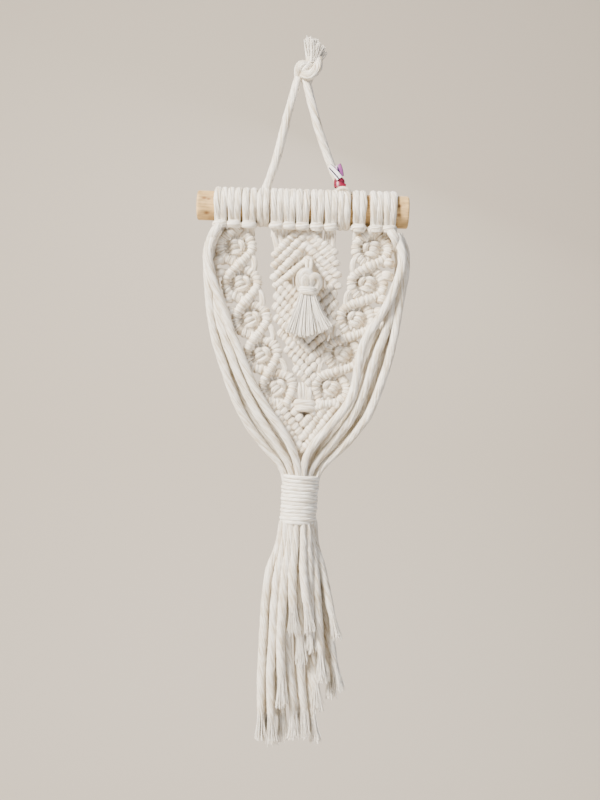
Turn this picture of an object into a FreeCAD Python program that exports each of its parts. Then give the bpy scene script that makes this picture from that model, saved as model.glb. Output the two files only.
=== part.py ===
"""Macrame wall hanging on a wooden dowel, in millimetres.

+X is to the right as seen from the room, +Y goes into the wall and +Z is up.
The origin is the hang point: the crotch of the hanger loop, where the nail or hook sits.
Cords, knots and panels are plain closed solids of the right size and place.
"""
import FreeCAD, Part
import math
import os
import re
import Sketcher
from FreeCAD import Placement, Rotation, Vector

X_AXIS = Vector(1, 0, 0)
Y_AXIS = Vector(0, 1, 0)
Z_AXIS = Vector(0, 0, 1)

# ---------------------------------------------------------------- driving dimensions

SIZES = [
    ("dowel_left_end", -49.6),
    ("dowel_right_end", 55.6),
    ("dowel_drop", 65.9),
    ("dowel_left_radius", 7.25),
    ("dowel_right_radius", 8.0),
    ("taper_start", -41.5),
    ("taper_end", 49.3),
    ("dowel_rim", 0.9),
    ("turn_width", 3.2),
    ("turn_thickness", 1.9),
    ("turn_rounding", 0.8),
    ("hitch_clearance", 0.06),
    ("cord_diameter", 4.2),
    ("tail_radius", 1.45),
    ("tail_length", 6.0),
    ("bar_radius", 1.8),
    ("bar_overhang", 1.2),
    ("tail_top_drop", 7.6),
    ("tail_depth", -5.6),
    ("bar_angle", 45.0),
    ("bar_gap", 0.5),
    ("knot_half_width", 6.2),
    ("knot_half_depth", 4.6),
    ("knot_half_height", 5.0),
    ("knot_tilt", 12.0),
    ("tuft_foot_radius", 2.8),
    ("tuft_top_radius", 5.2),
    ("tuft_height", 11.0),
    ("ribbon_band_radius", 2.7),
    ("ribbon_width", 3.6),
    ("ribbon_bow_width", 3.0),
    ("ribbon_bow_depth", 2.0),
    ("ribbon_bow_height", 5.6),
    ("ribbon_tail_depth", 1.6),
    ("ribbon_tail_length", 6.0),
    ("ring_radius", 6.9),
    ("ring_cord", 2.35),
    ("ring_web", 2.6),
    ("flower_radius", 3.9),
    ("flower_height", 2.7),
    ("panel_thickness", 5.0),
    ("apex_thickness", 6.4),
    ("panel_depth", -3.0),
    ("wrap_top", -199.0),
    ("wrap_length", 25.6),
    ("wrap_centre", 6.3),
    ("wrap_inner_radius", 7.3),
    ("wrap_wall", 1.2),
    ("wrap_cord", 2.0),
    ("core_radius", 7.2),
    ("tassel_loop_radius", 1.6),
    ("tassel_head_width", 5.6),
    ("tassel_head_depth", 4.2),
    ("tassel_head_height", 4.6),
    ("tassel_binding_radius", 4.4),
    ("tassel_binding_length", 4.0),
    ("tassel_depth", -10.2),
    ("skirt_length", 20.0),
    ("skirt_half_width", 10.4),
    ("skirt_half_depth", 3.9),
]

doc = FreeCAD.newDocument("macrame_wall_hanging")
sheet = doc.addObject("Spreadsheet::Sheet", "Sizes")
for row, (alias, value) in enumerate(SIZES, start=1):
    sheet.set(f"A{row}", alias)
    sheet.set(f"B{row}", str(value))
    sheet.setAlias(f"B{row}", alias)
doc.recompute()

nodes = []


def size(alias):
    """A driving dimension, as a number."""
    return float(sheet.get(alias))


def bind(part, **expressions):
    """Binds properties of a part to the sheet. Each alias in an expression stands for its cell."""
    for name, expression in expressions.items():
        for alias, _ in SIZES:
            expression = re.sub(rf"\b{alias}\b", f"<<Sizes>>.{alias}", expression)
        part.setExpression(name, expression)
    return part


def primitive(kind, name, position=Vector(), turn=Rotation(), **expressions):
    """A Part primitive whose sizes are bound to the sheet."""
    part = doc.addObject(kind, name)
    part.Placement = Placement(position, turn)
    return bind(part, **expressions)


def fused(name, pieces):
    """One solid from several overlapping ones."""
    result = doc.addObject("Part::MultiFuse", name)
    result.Shapes = pieces
    return result


def keep(part, label):
    """Marks a part as a node of the model: its label names its file."""
    part.Label = label
    nodes.append(part)
    return part


# ---------------------------------------------------------------- dowel

DOWEL_AXIS = Vector(0, 0, -size("dowel_drop"))
ALONG_X = Rotation(Y_AXIS, 90)


def dowel_radius(x):
    """Radius of the tapered dowel at x."""
    share = (x - size("taper_start")) / (size("taper_end") - size("taper_start"))
    share = min(max(share, 0.0), 1.0)
    left, right = size("dowel_left_radius"), size("dowel_right_radius")
    return left + (right - left) * share


def outline_sketch(body, points, names=()):
    """A closed sketch on the body's XZ plane. names gives the sheet words of (corner, direction) pairs."""
    plane = next(f for f in body.Origin.OriginFeatures if f.Role == "XZ_Plane")
    sketch = body.newObject("Sketcher::SketchObject", body.Name + "_outline")
    sketch.AttachmentSupport = [(plane, "")]
    sketch.MapMode = "FlatFace"
    corners = [Vector(x, z, 0) for x, z in points]
    for start, end in zip(corners, corners[1:] + corners[:1]):
        sketch.addGeometry(Part.LineSegment(start, end), False)
    count = len(corners)
    for index in range(count):
        sketch.addConstraint(Sketcher.Constraint("Coincident", index, 2, (index + 1) % count, 1))
    named = {(corner, direction): word for corner, direction, word in names}
    for index, corner in enumerate(corners):
        for direction, value in (("DistanceX", corner.x), ("DistanceY", corner.y)):
            item = sketch.addConstraint(Sketcher.Constraint(direction, -1, 1, index, 1, value))
            if (index, direction) in named:
                sketch.setExpression(f"Constraints[{item}]", f"<<Sizes>>.{named[index, direction]}")
    return sketch


def circle_edges(shape):
    """The numbers of a shape's circular edges."""
    return [n for n, edge in enumerate(shape.Edges, start=1) if isinstance(edge.Curve, Part.Circle)]


def make_dowel():
    """The peeled stick: cylindrical ends, a taper between them, and softened rims."""
    body = doc.addObject("PartDesign::Body", "Dowel")
    left, right = size("dowel_left_end"), size("dowel_right_end")
    thin, thick = size("dowel_left_radius"), size("dowel_right_radius")
    profile = [
        (left, 0),
        (left, thin),
        (size("taper_start"), thin),
        (size("taper_end"), thick),
        (right, thick),
        (right, 0),
    ]
    bound = [
        (0, "DistanceX", "dowel_left_end"),
        (1, "DistanceX", "dowel_left_end"),
        (1, "DistanceY", "dowel_left_radius"),
        (2, "DistanceX", "taper_start"),
        (2, "DistanceY", "dowel_left_radius"),
        (3, "DistanceX", "taper_end"),
        (3, "DistanceY", "dowel_right_radius"),
        (4, "DistanceX", "dowel_right_end"),
        (4, "DistanceY", "dowel_right_radius"),
        (5, "DistanceX", "dowel_right_end"),
    ]
    sketch = outline_sketch(body, profile, bound)
    turned = body.newObject("PartDesign::Revolution", "Dowel_turned")
    turned.Profile = sketch
    turned.ReferenceAxis = (sketch, ["H_Axis"])
    turned.Angle = 360
    doc.recompute()
    rims = [
        f"Edge{n}"
        for n in circle_edges(turned.Shape)
        if turned.Shape.Edges[n - 1].CenterOfMass.x < left + 0.1
        or turned.Shape.Edges[n - 1].CenterOfMass.x > right - 0.1
    ]
    rim = body.newObject("PartDesign::Fillet", "Dowel_rims")
    rim.Base = (turned, rims)
    bind(rim, Radius="dowel_rim")
    body.Placement = Placement(DOWEL_AXIS, Rotation())
    return keep(body, "dowel")


# ---------------------------------------------------------------- cord turns on the dowel

BORE_OVERRUN = 1.0


def turn_of_cord(name, x, clearance=0.0):
    """One flattened turn of cord round the dowel, centred at x."""
    width = size("turn_width")
    start = DOWEL_AXIS + Vector(x - width / 2, 0, 0)
    inner = dowel_radius(x) + clearance
    blank = primitive("Part::Cylinder", name + "_blank", start, ALONG_X, Height="turn_width")
    bind(blank, Radius=f"{inner:.3f} + turn_thickness")
    doc.recompute()
    rounded = doc.addObject("Part::Fillet", name + "_rounded")
    rounded.Base = blank
    rounding = size("turn_rounding")
    rounded.Edges = [(n, rounding, rounding) for n in circle_edges(blank.Shape)]
    overrun = BORE_OVERRUN
    taper = (dowel_radius(x + width) - dowel_radius(x - width)) / (2 * width)
    reach = width / 2 + overrun
    bore = primitive("Part::Cone", name + "_bore", start - X_AXIS * overrun, ALONG_X)
    bind(bore, Height=f"turn_width + {2 * overrun}")
    bore.Radius1 = inner - taper * reach
    bore.Radius2 = inner + taper * reach
    turn = doc.addObject("Part::Cut", name)
    turn.Base = rounded
    turn.Tool = bore
    return turn


def larks_head(name, left, right):
    """A lark's head: two turns, the bar across their front, and the two tails below it."""
    reach = dowel_radius((left + right) / 2) + size("turn_thickness") + size("bar_gap")
    angle = math.radians(size("bar_angle"))
    overhang = size("bar_overhang")
    bar_start = DOWEL_AXIS + Vector(left - overhang, -reach * math.cos(angle), -reach * math.sin(angle))
    bar = primitive("Part::Cylinder", name + "_bar", bar_start, ALONG_X, Radius="bar_radius")
    bind(bar, Height=f"{right - left:.3f} + 2 * bar_overhang")
    pieces = [turn_of_cord(name + "_turn_a", left), turn_of_cord(name + "_turn_b", right), bar]
    for side, x in (("a", left), ("b", right)):
        drop = size("tail_top_drop") + size("tail_length")
        foot = DOWEL_AXIS + Vector(x, size("tail_depth"), -drop)
        tail = primitive("Part::Cylinder", f"{name}_tail_{side}", foot, Height="tail_length")
        bind(tail, Radius="tail_radius")
        pieces.append(tail)
    return fused(name, pieces)


LARKS_HEADS = {
    "larks_heads_left": [(-39.9, -36.5), (-32.9, -29.4), (-25.7, -22.0)],
    "larks_heads_centre": [(-11.3, -8.0), (-4.8, -1.5), (1.9, 5.4), (8.9, 12.2), (15.4, 18.7)],
    "larks_heads_right": [(29.3, 32.6), (37.9, 41.2), (44.4, 47.7)],
}


def make_larks_heads():
    """The mounting knots in their three groups."""
    for label, pairs in LARKS_HEADS.items():
        heads = [larks_head(f"{label}_{n}", *pair) for n, pair in enumerate(pairs, start=1)]
        group = doc.addObject("Part::Compound", label)
        group.Links = heads
        keep(group, label)


HITCH_TURNS = {"hanger_left_hitch": (-18.0, -15.1), "hanger_right_hitch": (22.6, 25.6)}


def make_hitches():
    """The hanger's own turns, free to slip round the dowel."""
    for label, (left, right) in HITCH_TURNS.items():
        clearance = size("hitch_clearance")
        turns = [
            turn_of_cord(label + "_turn_a", left, clearance),
            turn_of_cord(label + "_turn_b", right, clearance),
        ]
        keep(fused(label, turns), label)


# ---------------------------------------------------------------- cords


def rounded_path(points):
    """Straight runs joined by tangent arcs, each as large as its two runs allow, and the smallest radius."""
    share = 0.45
    edges, radii, start = [], [], points[0]
    for before, corner, after in zip(points, points[1:], points[2:]):
        back, ahead = before - corner, after - corner
        half_turn = (math.pi - back.getAngle(ahead)) / 2
        reach = share * min(back.Length, ahead.Length)
        radius = reach / math.tan(half_turn)
        back.normalize()
        ahead.normalize()
        inward = back + ahead
        inward.normalize()
        middle = corner + inward * (radius / math.cos(half_turn) - radius)
        entry, leave = corner + back * reach, corner + ahead * reach
        edges.append(Part.LineSegment(start, entry).toShape())
        edges.append(Part.Arc(entry, middle, leave).toShape())
        radii.append(radius)
        start = leave
    edges.append(Part.LineSegment(start, points[-1]).toShape())
    return Part.Wire(edges), min(radii)


def cord(label, route, diameter):
    """A tube along a hand-set route."""
    points = [Vector(*point) for point in route]
    path, radius = rounded_path(points)
    first_run = points[1] - points[0]
    ring = Part.Wire([Part.makeCircle(diameter / 2, points[0], first_run)])
    shape = path.makePipeShell([ring], True, False)
    expected = math.pi * diameter**2 / 4 * path.Length
    ratio = shape.Volume / expected
    print(f"{label}: {path.Length:.1f} long, smallest radius {radius:.1f}, volume ratio {ratio:.4f}")
    part = doc.addObject("Part::Feature", label)
    part.Shape = shape
    part.Placement = Placement()
    return keep(part, label)


HANGER_LEGS = {
    "hanger_left_leg": [
        (-1.4, 0, -0.4), (-5.2, -0.2, -14.6), (-8.2, -0.3, -29.0), (-11.6, -0.2, -43.6), (-15.7, 0, -56.6),
    ],
    "hanger_right_leg": [
        (2.2, 0, -0.6), (6.2, -0.2, -15.5), (11.2, -0.3, -31.0), (16.8, -0.3, -45.5), (22.9, 0, -56.7),
    ],
}

SWAGS = {
    "left_swag_1": [
        (-41.0, -6.0, -80.5), (-44.2, -6.2, -93.0), (-42.8, -5.8, -108.0), (-39.4, -5.6, -123.5),
        (-35.2, -5.8, -138.5), (-30.6, -5.6, -152.5), (-25.0, -5.4, -166.0), (-17.6, -4.8, -177.5),
        (-9.4, -3.8, -187.5), (-1.6, -2.4, -195.8),
    ],
    "left_swag_2": [
        (-39.8, -3.8, -81.5), (-42.4, -2.4, -94.0), (-40.4, -1.8, -109.0), (-36.8, -1.6, -124.5),
        (-32.2, -1.4, -139.0), (-27.2, -1.6, -153.0), (-21.2, -1.4, -166.0), (-14.0, -0.8, -177.0),
        (-6.4, 0.6, -187.0), (0.4, 2.4, -195.8),
    ],
    "left_swag_3": [
        (-38.6, -7.4, -81.5), (-40.0, -7.6, -94.0), (-38.2, -6.8, -109.0), (-33.8, -6.4, -125.0),
        (-29.0, -6.6, -139.5), (-23.6, -6.4, -153.5), (-17.2, -6.4, -166.5), (-10.4, -6.2, -177.0),
        (-3.8, -5.4, -187.0), (2.2, -4.4, -195.8),
    ],
    "left_swag_4": [
        (-37.6, -3.4, -82.0), (-38.4, -2.4, -95.0), (-35.8, -2.2, -108.5), (-31.2, -2.0, -124.0),
        (-26.4, -2.2, -138.5), (-21.0, -2.0, -152.0), (-14.6, -1.8, -165.0), (-7.4, -0.6, -176.0),
        (-1.0, 1.8, -186.5), (4.4, 4.6, -195.8),
    ],
    "left_swag_5": [
        (-36.6, -8.0, -83.0), (-36.4, -8.4, -95.5), (-33.6, -8.0, -108.0), (-29.6, -7.8, -121.5),
        (-24.8, -7.6, -135.5), (-19.2, -7.8, -149.0), (-12.2, -8.2, -162.5), (-4.6, -8.6, -174.0),
        (1.8, -8.2, -185.5), (5.6, -6.6, -195.8),
    ],
    "right_swag_1": [
        (51.0, -6.0, -78.5), (55.0, -6.2, -89.5), (57.0, -6.0, -102.5), (55.0, -5.8, -117.5),
        (51.8, -5.6, -132.5), (47.6, -5.8, -148.0), (43.2, -5.6, -161.5), (36.8, -5.0, -173.0),
        (26.6, -4.2, -184.0), (14.6, -2.6, -195.8),
    ],
    "right_swag_2": [
        (50.0, -3.6, -79.0), (53.0, -2.4, -90.5), (53.8, -1.8, -103.5), (51.6, -1.6, -118.5),
        (48.2, -1.4, -134.0), (43.6, -1.6, -149.5), (38.0, -1.4, -163.5), (30.4, -0.6, -174.5),
        (21.8, 0.6, -185.5), (12.8, 2.6, -195.8),
    ],
    "right_swag_3": [
        (48.8, -7.2, -79.5), (51.0, -7.6, -91.0), (51.0, -7.0, -104.0), (48.0, -6.6, -119.0),
        (44.2, -6.4, -134.5), (39.6, -6.6, -150.0), (33.6, -6.4, -164.0), (26.0, -6.2, -175.5),
        (17.8, -5.4, -186.5), (10.6, -4.4, -195.8),
    ],
    "right_swag_4": [
        (47.8, -3.2, -80.5), (48.8, -2.2, -92.5), (47.6, -2.0, -106.0), (44.2, -1.8, -120.5),
        (40.4, -2.0, -136.0), (35.6, -1.8, -151.0), (29.4, -1.4, -165.0), (21.6, -0.4, -176.0),
        (14.4, 1.8, -187.0), (8.6, 4.6, -195.8),
    ],
    "right_swag_5": [
        (46.8, -7.8, -82.0), (46.8, -8.6, -93.5), (44.6, -8.2, -106.0), (39.6, -8.0, -118.5),
        (34.2, -7.8, -129.5), (32.6, -7.8, -141.5), (31.4, -7.9, -154.0), (26.0, -8.3, -166.0),
        (18.0, -8.6, -177.5), (10.9, -7.8, -187.5), (7.6, -6.2, -195.8),
    ],
}

FRINGE = {
    "fringe_cord_01": [
        (-0.6, -3.2, -232.8), (-5.8, -4.2, -244.0), (-8.9, -4.8, -259.0), (-9.0, -4.2, -276.0),
        (-9.7, -3.8, -294.0), (-9.2, -3.0, -313.0), (-9.0, -3.6, -331.0),
    ],
    "fringe_cord_02": [
        (1.4, -5.0, -232.8), (-2.4, -6.6, -246.0), (-4.2, -7.0, -262.0), (-4.5, -6.4, -279.5),
        (-5.2, -5.8, -297.5), (-4.0, -5.2, -315.5), (-2.6, -5.6, -333.0),
    ],
    "fringe_cord_03": [
        (3.4, -6.2, -232.8), (0.8, -8.0, -247.0), (-0.3, -8.6, -263.0), (-0.7, -7.8, -280.0),
        (0.4, -7.4, -297.0), (1.2, -8.0, -313.0),
    ],
    "fringe_cord_04": [
        (5.4, -6.6, -232.8), (4.0, -8.6, -246.0), (4.6, -9.4, -261.0), (6.6, -9.0, -277.0),
    ],
    "fringe_cord_05": [
        (8.4, -6.6, -232.8), (9.2, -8.6, -246.0), (11.6, -9.4, -261.0), (14.2, -9.2, -276.5),
    ],
    "fringe_cord_06": [
        (10.4, -5.4, -232.8), (12.2, -6.4, -249.0), (13.4, -6.2, -268.0), (15.0, -6.8, -286.5),
    ],
    "fringe_cord_07": [
        (6.6, -3.4, -232.8), (7.0, -5.0, -247.0), (8.2, -5.4, -262.0), (9.2, -6.2, -277.0),
        (10.3, -6.4, -292.5),
    ],
    "fringe_cord_08": [
        (11.8, -3.2, -232.8), (14.8, -4.6, -247.0), (17.0, -5.4, -263.0), (19.0, -5.8, -282.0),
        (21.2, -6.2, -301.0),
    ],
    "fringe_cord_09": [
        (12.8, -0.8, -232.8), (17.8, -1.6, -245.0), (21.8, -2.4, -257.5), (24.9, -2.6, -269.5),
        (27.6, -3.2, -280.5),
    ],
    "fringe_cord_10": [
        (12.6, 1.8, -232.8), (17.2, 1.4, -246.0), (20.6, 0.8, -261.0), (23.6, 0.2, -277.0),
        (26.4, -0.8, -292.0), (29.8, -1.2, -306.0),
    ],
    "fringe_cord_11": [
        (11.4, 4.0, -232.8), (15.0, 3.8, -247.0), (18.4, 3.2, -263.5), (21.6, 2.6, -280.0),
        (24.4, 2.0, -296.0), (25.8, 1.2, -311.0),
    ],
    "fringe_cord_12": [
        (9.4, -1.6, -232.8), (11.4, -2.4, -249.0), (13.6, -2.0, -266.0), (15.4, -1.8, -283.0),
        (17.0, -2.4, -300.0), (19.6, -2.8, -316.5),
    ],
    "fringe_cord_13": [
        (9.2, 1.8, -232.8), (11.0, 1.4, -249.0), (12.4, 1.8, -267.0), (13.8, 1.2, -285.0),
        (14.6, 0.6, -302.0), (16.4, 0.2, -317.5), (18.8, -0.6, -332.5),
    ],
    "fringe_cord_14": [
        (6.2, 0.4, -232.8), (6.6, -0.8, -249.0), (7.8, -1.4, -267.0), (8.6, -1.6, -285.0),
        (10.2, -2.2, -301.5), (12.3, -2.6, -316.0), (13.1, -3.2, -329.5),
    ],
    "fringe_cord_15": [
        (3.4, -2.6, -232.8), (2.6, -4.2, -248.0), (2.2, -3.8, -266.0), (2.8, -3.6, -284.0),
        (5.1, -4.2, -300.5), (7.3, -4.8, -316.0), (7.6, -4.4, -330.0),
    ],
    "fringe_cord_16": [
        (3.2, 0.8, -232.8), (1.8, 0.4, -249.0), (0.4, 0.8, -267.0), (-0.4, 0.2, -286.0),
        (0.2, -0.4, -304.0), (1.5, -0.2, -318.5), (2.3, -0.8, -332.0),
    ],
    "fringe_cord_17": [
        (0.4, -0.4, -232.8), (-3.0, -0.8, -246.0), (-5.2, -0.6, -262.0), (-6.6, -0.4, -280.0),
        (-6.8, 0.2, -298.0), (-6.4, 0.6, -316.0), (-5.8, 0.2, -332.5),
    ],
    "fringe_cord_18": [
        (9.0, 5.2, -232.8), (11.6, 6.2, -249.0), (14.2, 6.2, -268.0), (16.2, 5.8, -287.0),
        (17.0, 5.2, -306.0),
    ],
    "fringe_cord_19": [
        (6.2, 4.8, -232.8), (6.4, 5.2, -249.0), (7.2, 5.4, -267.0), (8.0, 4.8, -286.0),
        (9.4, 4.4, -306.0), (10.5, 4.0, -326.5),
    ],
    "fringe_cord_20": [
        (3.4, 4.4, -232.8), (1.2, 5.0, -248.0), (-1.2, 5.2, -266.0), (-2.2, 4.8, -285.0),
        (-2.4, 4.2, -304.0), (-1.6, 3.8, -322.0),
    ],
}

# ---------------------------------------------------------------- hanger


KNOT_CENTRE = Vector(2.9, 0, 4.2)
TUFT_FOOT = Vector(5.0, 0, 8.4)
RIBBON_BAND_FOOT = Vector(17.0, -0.3, -48.6)
RIBBON_BOW_CORNER = Vector(18.0, -2.9, -50.0)
RIBBON_TAIL_CORNER = Vector(20.4, -3.1, -54.4)
RIBBON_TURNS = {"band": -22.0, "bow": 12.0, "tail": -6.0}


def make_ribbon():
    """A narrow ribbon tied round the right leg: a band and two short flat ends."""
    turns = {word: Rotation(Y_AXIS, angle) for word, angle in RIBBON_TURNS.items()}
    band = primitive("Part::Cylinder", "Ribbon_band", RIBBON_BAND_FOOT, turns["band"])
    bind(band, Radius="ribbon_band_radius", Height="ribbon_width")
    bow = primitive("Part::Box", "Ribbon_bow", RIBBON_BOW_CORNER, turns["bow"])
    bind(bow, Length="ribbon_bow_width", Width="ribbon_bow_depth", Height="ribbon_bow_height")
    tail = primitive("Part::Box", "Ribbon_tail", RIBBON_TAIL_CORNER, turns["tail"])
    bind(tail, Length="ribbon_width", Width="ribbon_tail_depth", Height="ribbon_tail_length")
    keep(fused("Ribbon", [band, bow, tail]), "ribbon_tie")


def make_hanger():
    """The loop's knot and frayed tuft, its two legs, and their turns round the dowel."""
    tilt = Rotation(Y_AXIS, size("knot_tilt"))
    knot = primitive("Part::Ellipsoid", "Knot", KNOT_CENTRE, tilt)
    bind(knot, Radius1="knot_half_height", Radius2="knot_half_width", Radius3="knot_half_depth")
    keep(knot, "hanger_knot")
    tuft = primitive("Part::Cone", "Tuft", TUFT_FOOT, tilt)
    bind(tuft, Radius1="tuft_foot_radius", Radius2="tuft_top_radius", Height="tuft_height")
    keep(tuft, "hanger_tuft")
    for label, route in HANGER_LEGS.items():
        cord(label, route, size("cord_diameter"))
    make_hitches()
    make_ribbon()


# ---------------------------------------------------------------- knotted panels

LEFT_RINGS = [(-29.5, -86.6), (-26.1, -104.6), (-20.8, -122.2), (-14.9, -139.6), (-6.6, -155.8)]
RIGHT_RINGS = [(38.0, -85.4), (36.4, -102.8), (31.4, -120.4), (25.4, -138.0), (20.2, -155.2)]

CENTRE_UPPER = [
    (-11.4, -76.5), (19.4, -76.5), (20.6, -88.0), (22.0, -100.0), (22.2, -111.0), (-9.4, -111.0),
    (-10.8, -99.0), (-10.8, -88.0),
]
CENTRE_LOWER = [
    (-9.4, -111.0), (22.2, -111.0), (20.2, -121.0), (17.8, -131.0), (14.0, -140.0), (9.4, -151.0),
    (7.2, -151.0), (4.0, -147.0), (-0.8, -139.0), (-5.6, -129.0), (-8.0, -119.5),
]
APEX = [
    (-13.0, -163.0), (-5.0, -158.0), (5.6, -154.6), (9.4, -154.2), (18.5, -156.5), (27.2, -159.6),
    (20.0, -171.5), (9.4, -186.5), (6.4, -190.0), (3.6, -186.5), (-4.5, -174.5),
]


def make_ring(label, x, z):
    """A ring of knots round a knotted flower, on a thin web of cords."""
    centre = Vector(x, size("panel_depth"), z)
    facing = Rotation(X_AXIS, 90)
    rim = primitive("Part::Torus", label + "_rim", centre, facing, Radius1="ring_radius", Radius2="ring_cord")
    back = centre + Y_AXIS * size("ring_web") / 2
    web = primitive("Part::Cylinder", label + "_web", back, facing, Radius="ring_radius", Height="ring_web")
    flower = primitive("Part::Ellipsoid", label + "_flower", centre)
    bind(flower, Radius1="flower_radius", Radius2="flower_radius", Radius3="flower_height")
    keep(fused(label, [rim, web, flower]), label)


def make_plate(label, outline, thickness):
    """A knotted panel as a plate of even thickness."""
    body = doc.addObject("PartDesign::Body", label)
    sketch = outline_sketch(body, outline)
    pad = body.newObject("PartDesign::Pad", label + "_pad")
    pad.Profile = sketch
    pad.Midplane = True
    bind(pad, Length=thickness)
    body.Placement = Placement(Vector(0, size("panel_depth"), 0), Rotation())
    keep(body, label)


def make_panels():
    """Two side panels of rings, the centre panel in two halves, and the apex where they join."""
    for side, rings in (("left", LEFT_RINGS), ("right", RIGHT_RINGS)):
        for number, (x, z) in enumerate(rings, start=1):
            make_ring(f"{side}_ring_{number}", x, z)
    make_plate("centre_panel_upper", CENTRE_UPPER, "panel_thickness")
    make_plate("centre_panel_lower", CENTRE_LOWER, "panel_thickness")
    make_plate("apex_knot", APEX, "apex_thickness")


# ---------------------------------------------------------------- tassel


TASSEL_LOOP_CENTRE = Vector(7.0, -8.2, -94.6)
TASSEL_HEAD_CENTRE = Vector(7.0, size("tassel_depth"), -101.2)
TASSEL_BINDING_FOOT = Vector(6.6, size("tassel_depth"), -109.6)
SKIRT_LEAN = 1.4


def make_tassel():
    """The small tassel: the loop it is tied by, its head, its binding and a flared skirt of loose fibres."""
    loop = primitive("Part::Sphere", "Tassel_loop", TASSEL_LOOP_CENTRE, Radius="tassel_loop_radius")
    keep(loop, "tassel_loop")
    head = primitive("Part::Ellipsoid", "Tassel_head", TASSEL_HEAD_CENTRE)
    bind(head, Radius1="tassel_head_height", Radius2="tassel_head_width", Radius3="tassel_head_depth")
    keep(head, "tassel_head")
    binding = primitive("Part::Cylinder", "Tassel_binding", TASSEL_BINDING_FOOT)
    bind(binding, Radius="tassel_binding_radius", Height="tassel_binding_length")
    keep(binding, "tassel_binding")
    top = primitive("Part::Ellipse", "Skirt_top", TASSEL_BINDING_FOOT)
    bind(top, MajorRadius="tassel_binding_radius - 0.3", MinorRadius="tassel_binding_radius - 0.6")
    hem_centre = TASSEL_BINDING_FOOT + Vector(SKIRT_LEAN, 0, -size("skirt_length"))
    hem = primitive("Part::Ellipse", "Skirt_hem", hem_centre)
    bind(hem, MajorRadius="skirt_half_width", MinorRadius="skirt_half_depth")
    skirt = doc.addObject("Part::Loft", "Tassel_skirt")
    skirt.Sections = [top, hem]
    skirt.Solid = True
    skirt.Ruled = False
    keep(skirt, "tassel_skirt")


# ---------------------------------------------------------------- gathering wrap


def make_wrap():
    """The bunch of cords and the thin cord wound round it."""
    centre, foot = size("wrap_centre"), size("wrap_top") - size("wrap_length")
    low = Vector(centre, 0, foot)
    shell = primitive("Part::Cylinder", "Wrap_shell", low, Height="wrap_length")
    bind(shell, Radius="wrap_inner_radius + wrap_wall")
    pitch = size("wrap_cord")
    count = int(size("wrap_length") / pitch)
    turns = []
    for number in range(count):
        height = foot + pitch / 2 + number * (size("wrap_length") - pitch) / (count - 1)
        turn = primitive("Part::Torus", f"Wrap_turn_{number + 1}", Vector(centre, 0, height))
        bind(turn, Radius1="wrap_inner_radius + wrap_cord / 2", Radius2="wrap_cord / 2")
        turns.append(turn)
    wound = fused("Wrap_wound", [shell, *turns])
    bore = primitive("Part::Cylinder", "Wrap_bore", low - Z_AXIS, Height="wrap_length + 2")
    bind(bore, Radius="wrap_inner_radius")
    wrap = doc.addObject("Part::Cut", "Wrap")
    wrap.Base = wound
    wrap.Tool = bore
    keep(wrap, "gathering_wrap")
    trunk = primitive("Part::Cylinder", "Core_trunk", low, Height="wrap_length", Radius="core_radius")
    dome = primitive("Part::Sphere", "Core_dome", low, Radius="core_radius")
    keep(fused("Core", [trunk, dome]), "wrap_core")


# ---------------------------------------------------------------- build, check and write

make_dowel()
make_larks_heads()
make_hanger()
make_panels()
make_tassel()
make_wrap()
for swag, swag_route in SWAGS.items():
    cord(swag, swag_route, size("cord_diameter"))
for strand, strand_route in FRINGE.items():
    cord(strand, strand_route, size("cord_diameter"))

doc.recompute()
for item in doc.Objects:
    if "Invalid" in item.State or "Error" in item.State:
        raise RuntimeError(f"{item.Label} failed: {item.State}")
for node in nodes:
    if node.Shape.isNull() or not node.Shape.isValid():
        raise RuntimeError(f"{node.Label} has no valid shape")

os.makedirs("parts", exist_ok=True)
for node in nodes:
    node.Shape.exportStep(f"parts/{node.Label}.step")
print(f"{len(nodes)} nodes written")
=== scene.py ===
# %% [markdown]
# # A knotted cotton wall hanging
# The CAD model fixes where everything is. This file gives it cords, knots, fringe and wood grain.
# We load the CAD model first, because every piece below takes its place from it.

# %% Load the frame
import math
import random

import bpy
from mathutils import Matrix, Vector


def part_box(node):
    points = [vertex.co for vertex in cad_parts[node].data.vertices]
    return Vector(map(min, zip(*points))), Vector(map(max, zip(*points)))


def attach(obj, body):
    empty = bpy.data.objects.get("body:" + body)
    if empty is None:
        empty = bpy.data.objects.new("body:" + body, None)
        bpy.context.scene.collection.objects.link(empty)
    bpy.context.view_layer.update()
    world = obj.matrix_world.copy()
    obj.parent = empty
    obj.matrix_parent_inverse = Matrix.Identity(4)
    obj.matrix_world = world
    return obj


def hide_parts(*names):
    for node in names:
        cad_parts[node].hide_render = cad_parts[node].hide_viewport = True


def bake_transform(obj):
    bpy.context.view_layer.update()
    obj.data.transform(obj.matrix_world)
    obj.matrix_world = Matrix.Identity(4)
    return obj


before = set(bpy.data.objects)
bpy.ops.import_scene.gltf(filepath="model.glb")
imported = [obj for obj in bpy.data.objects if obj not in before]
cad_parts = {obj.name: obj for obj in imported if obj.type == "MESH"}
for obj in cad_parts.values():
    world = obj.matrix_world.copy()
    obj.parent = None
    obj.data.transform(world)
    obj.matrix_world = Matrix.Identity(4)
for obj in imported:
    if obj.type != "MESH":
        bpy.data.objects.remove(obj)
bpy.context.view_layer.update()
MM = 0.001
TO_ROOM = Vector((0, -1, 0))

# %% [markdown]
# ## Camera, floor and light
# The hanging is looked at from straight in front, half a metre away, with the camera a little
# rolled. A curved sweep is floor and backdrop in one, so that no horizon line cuts the picture.

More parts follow.
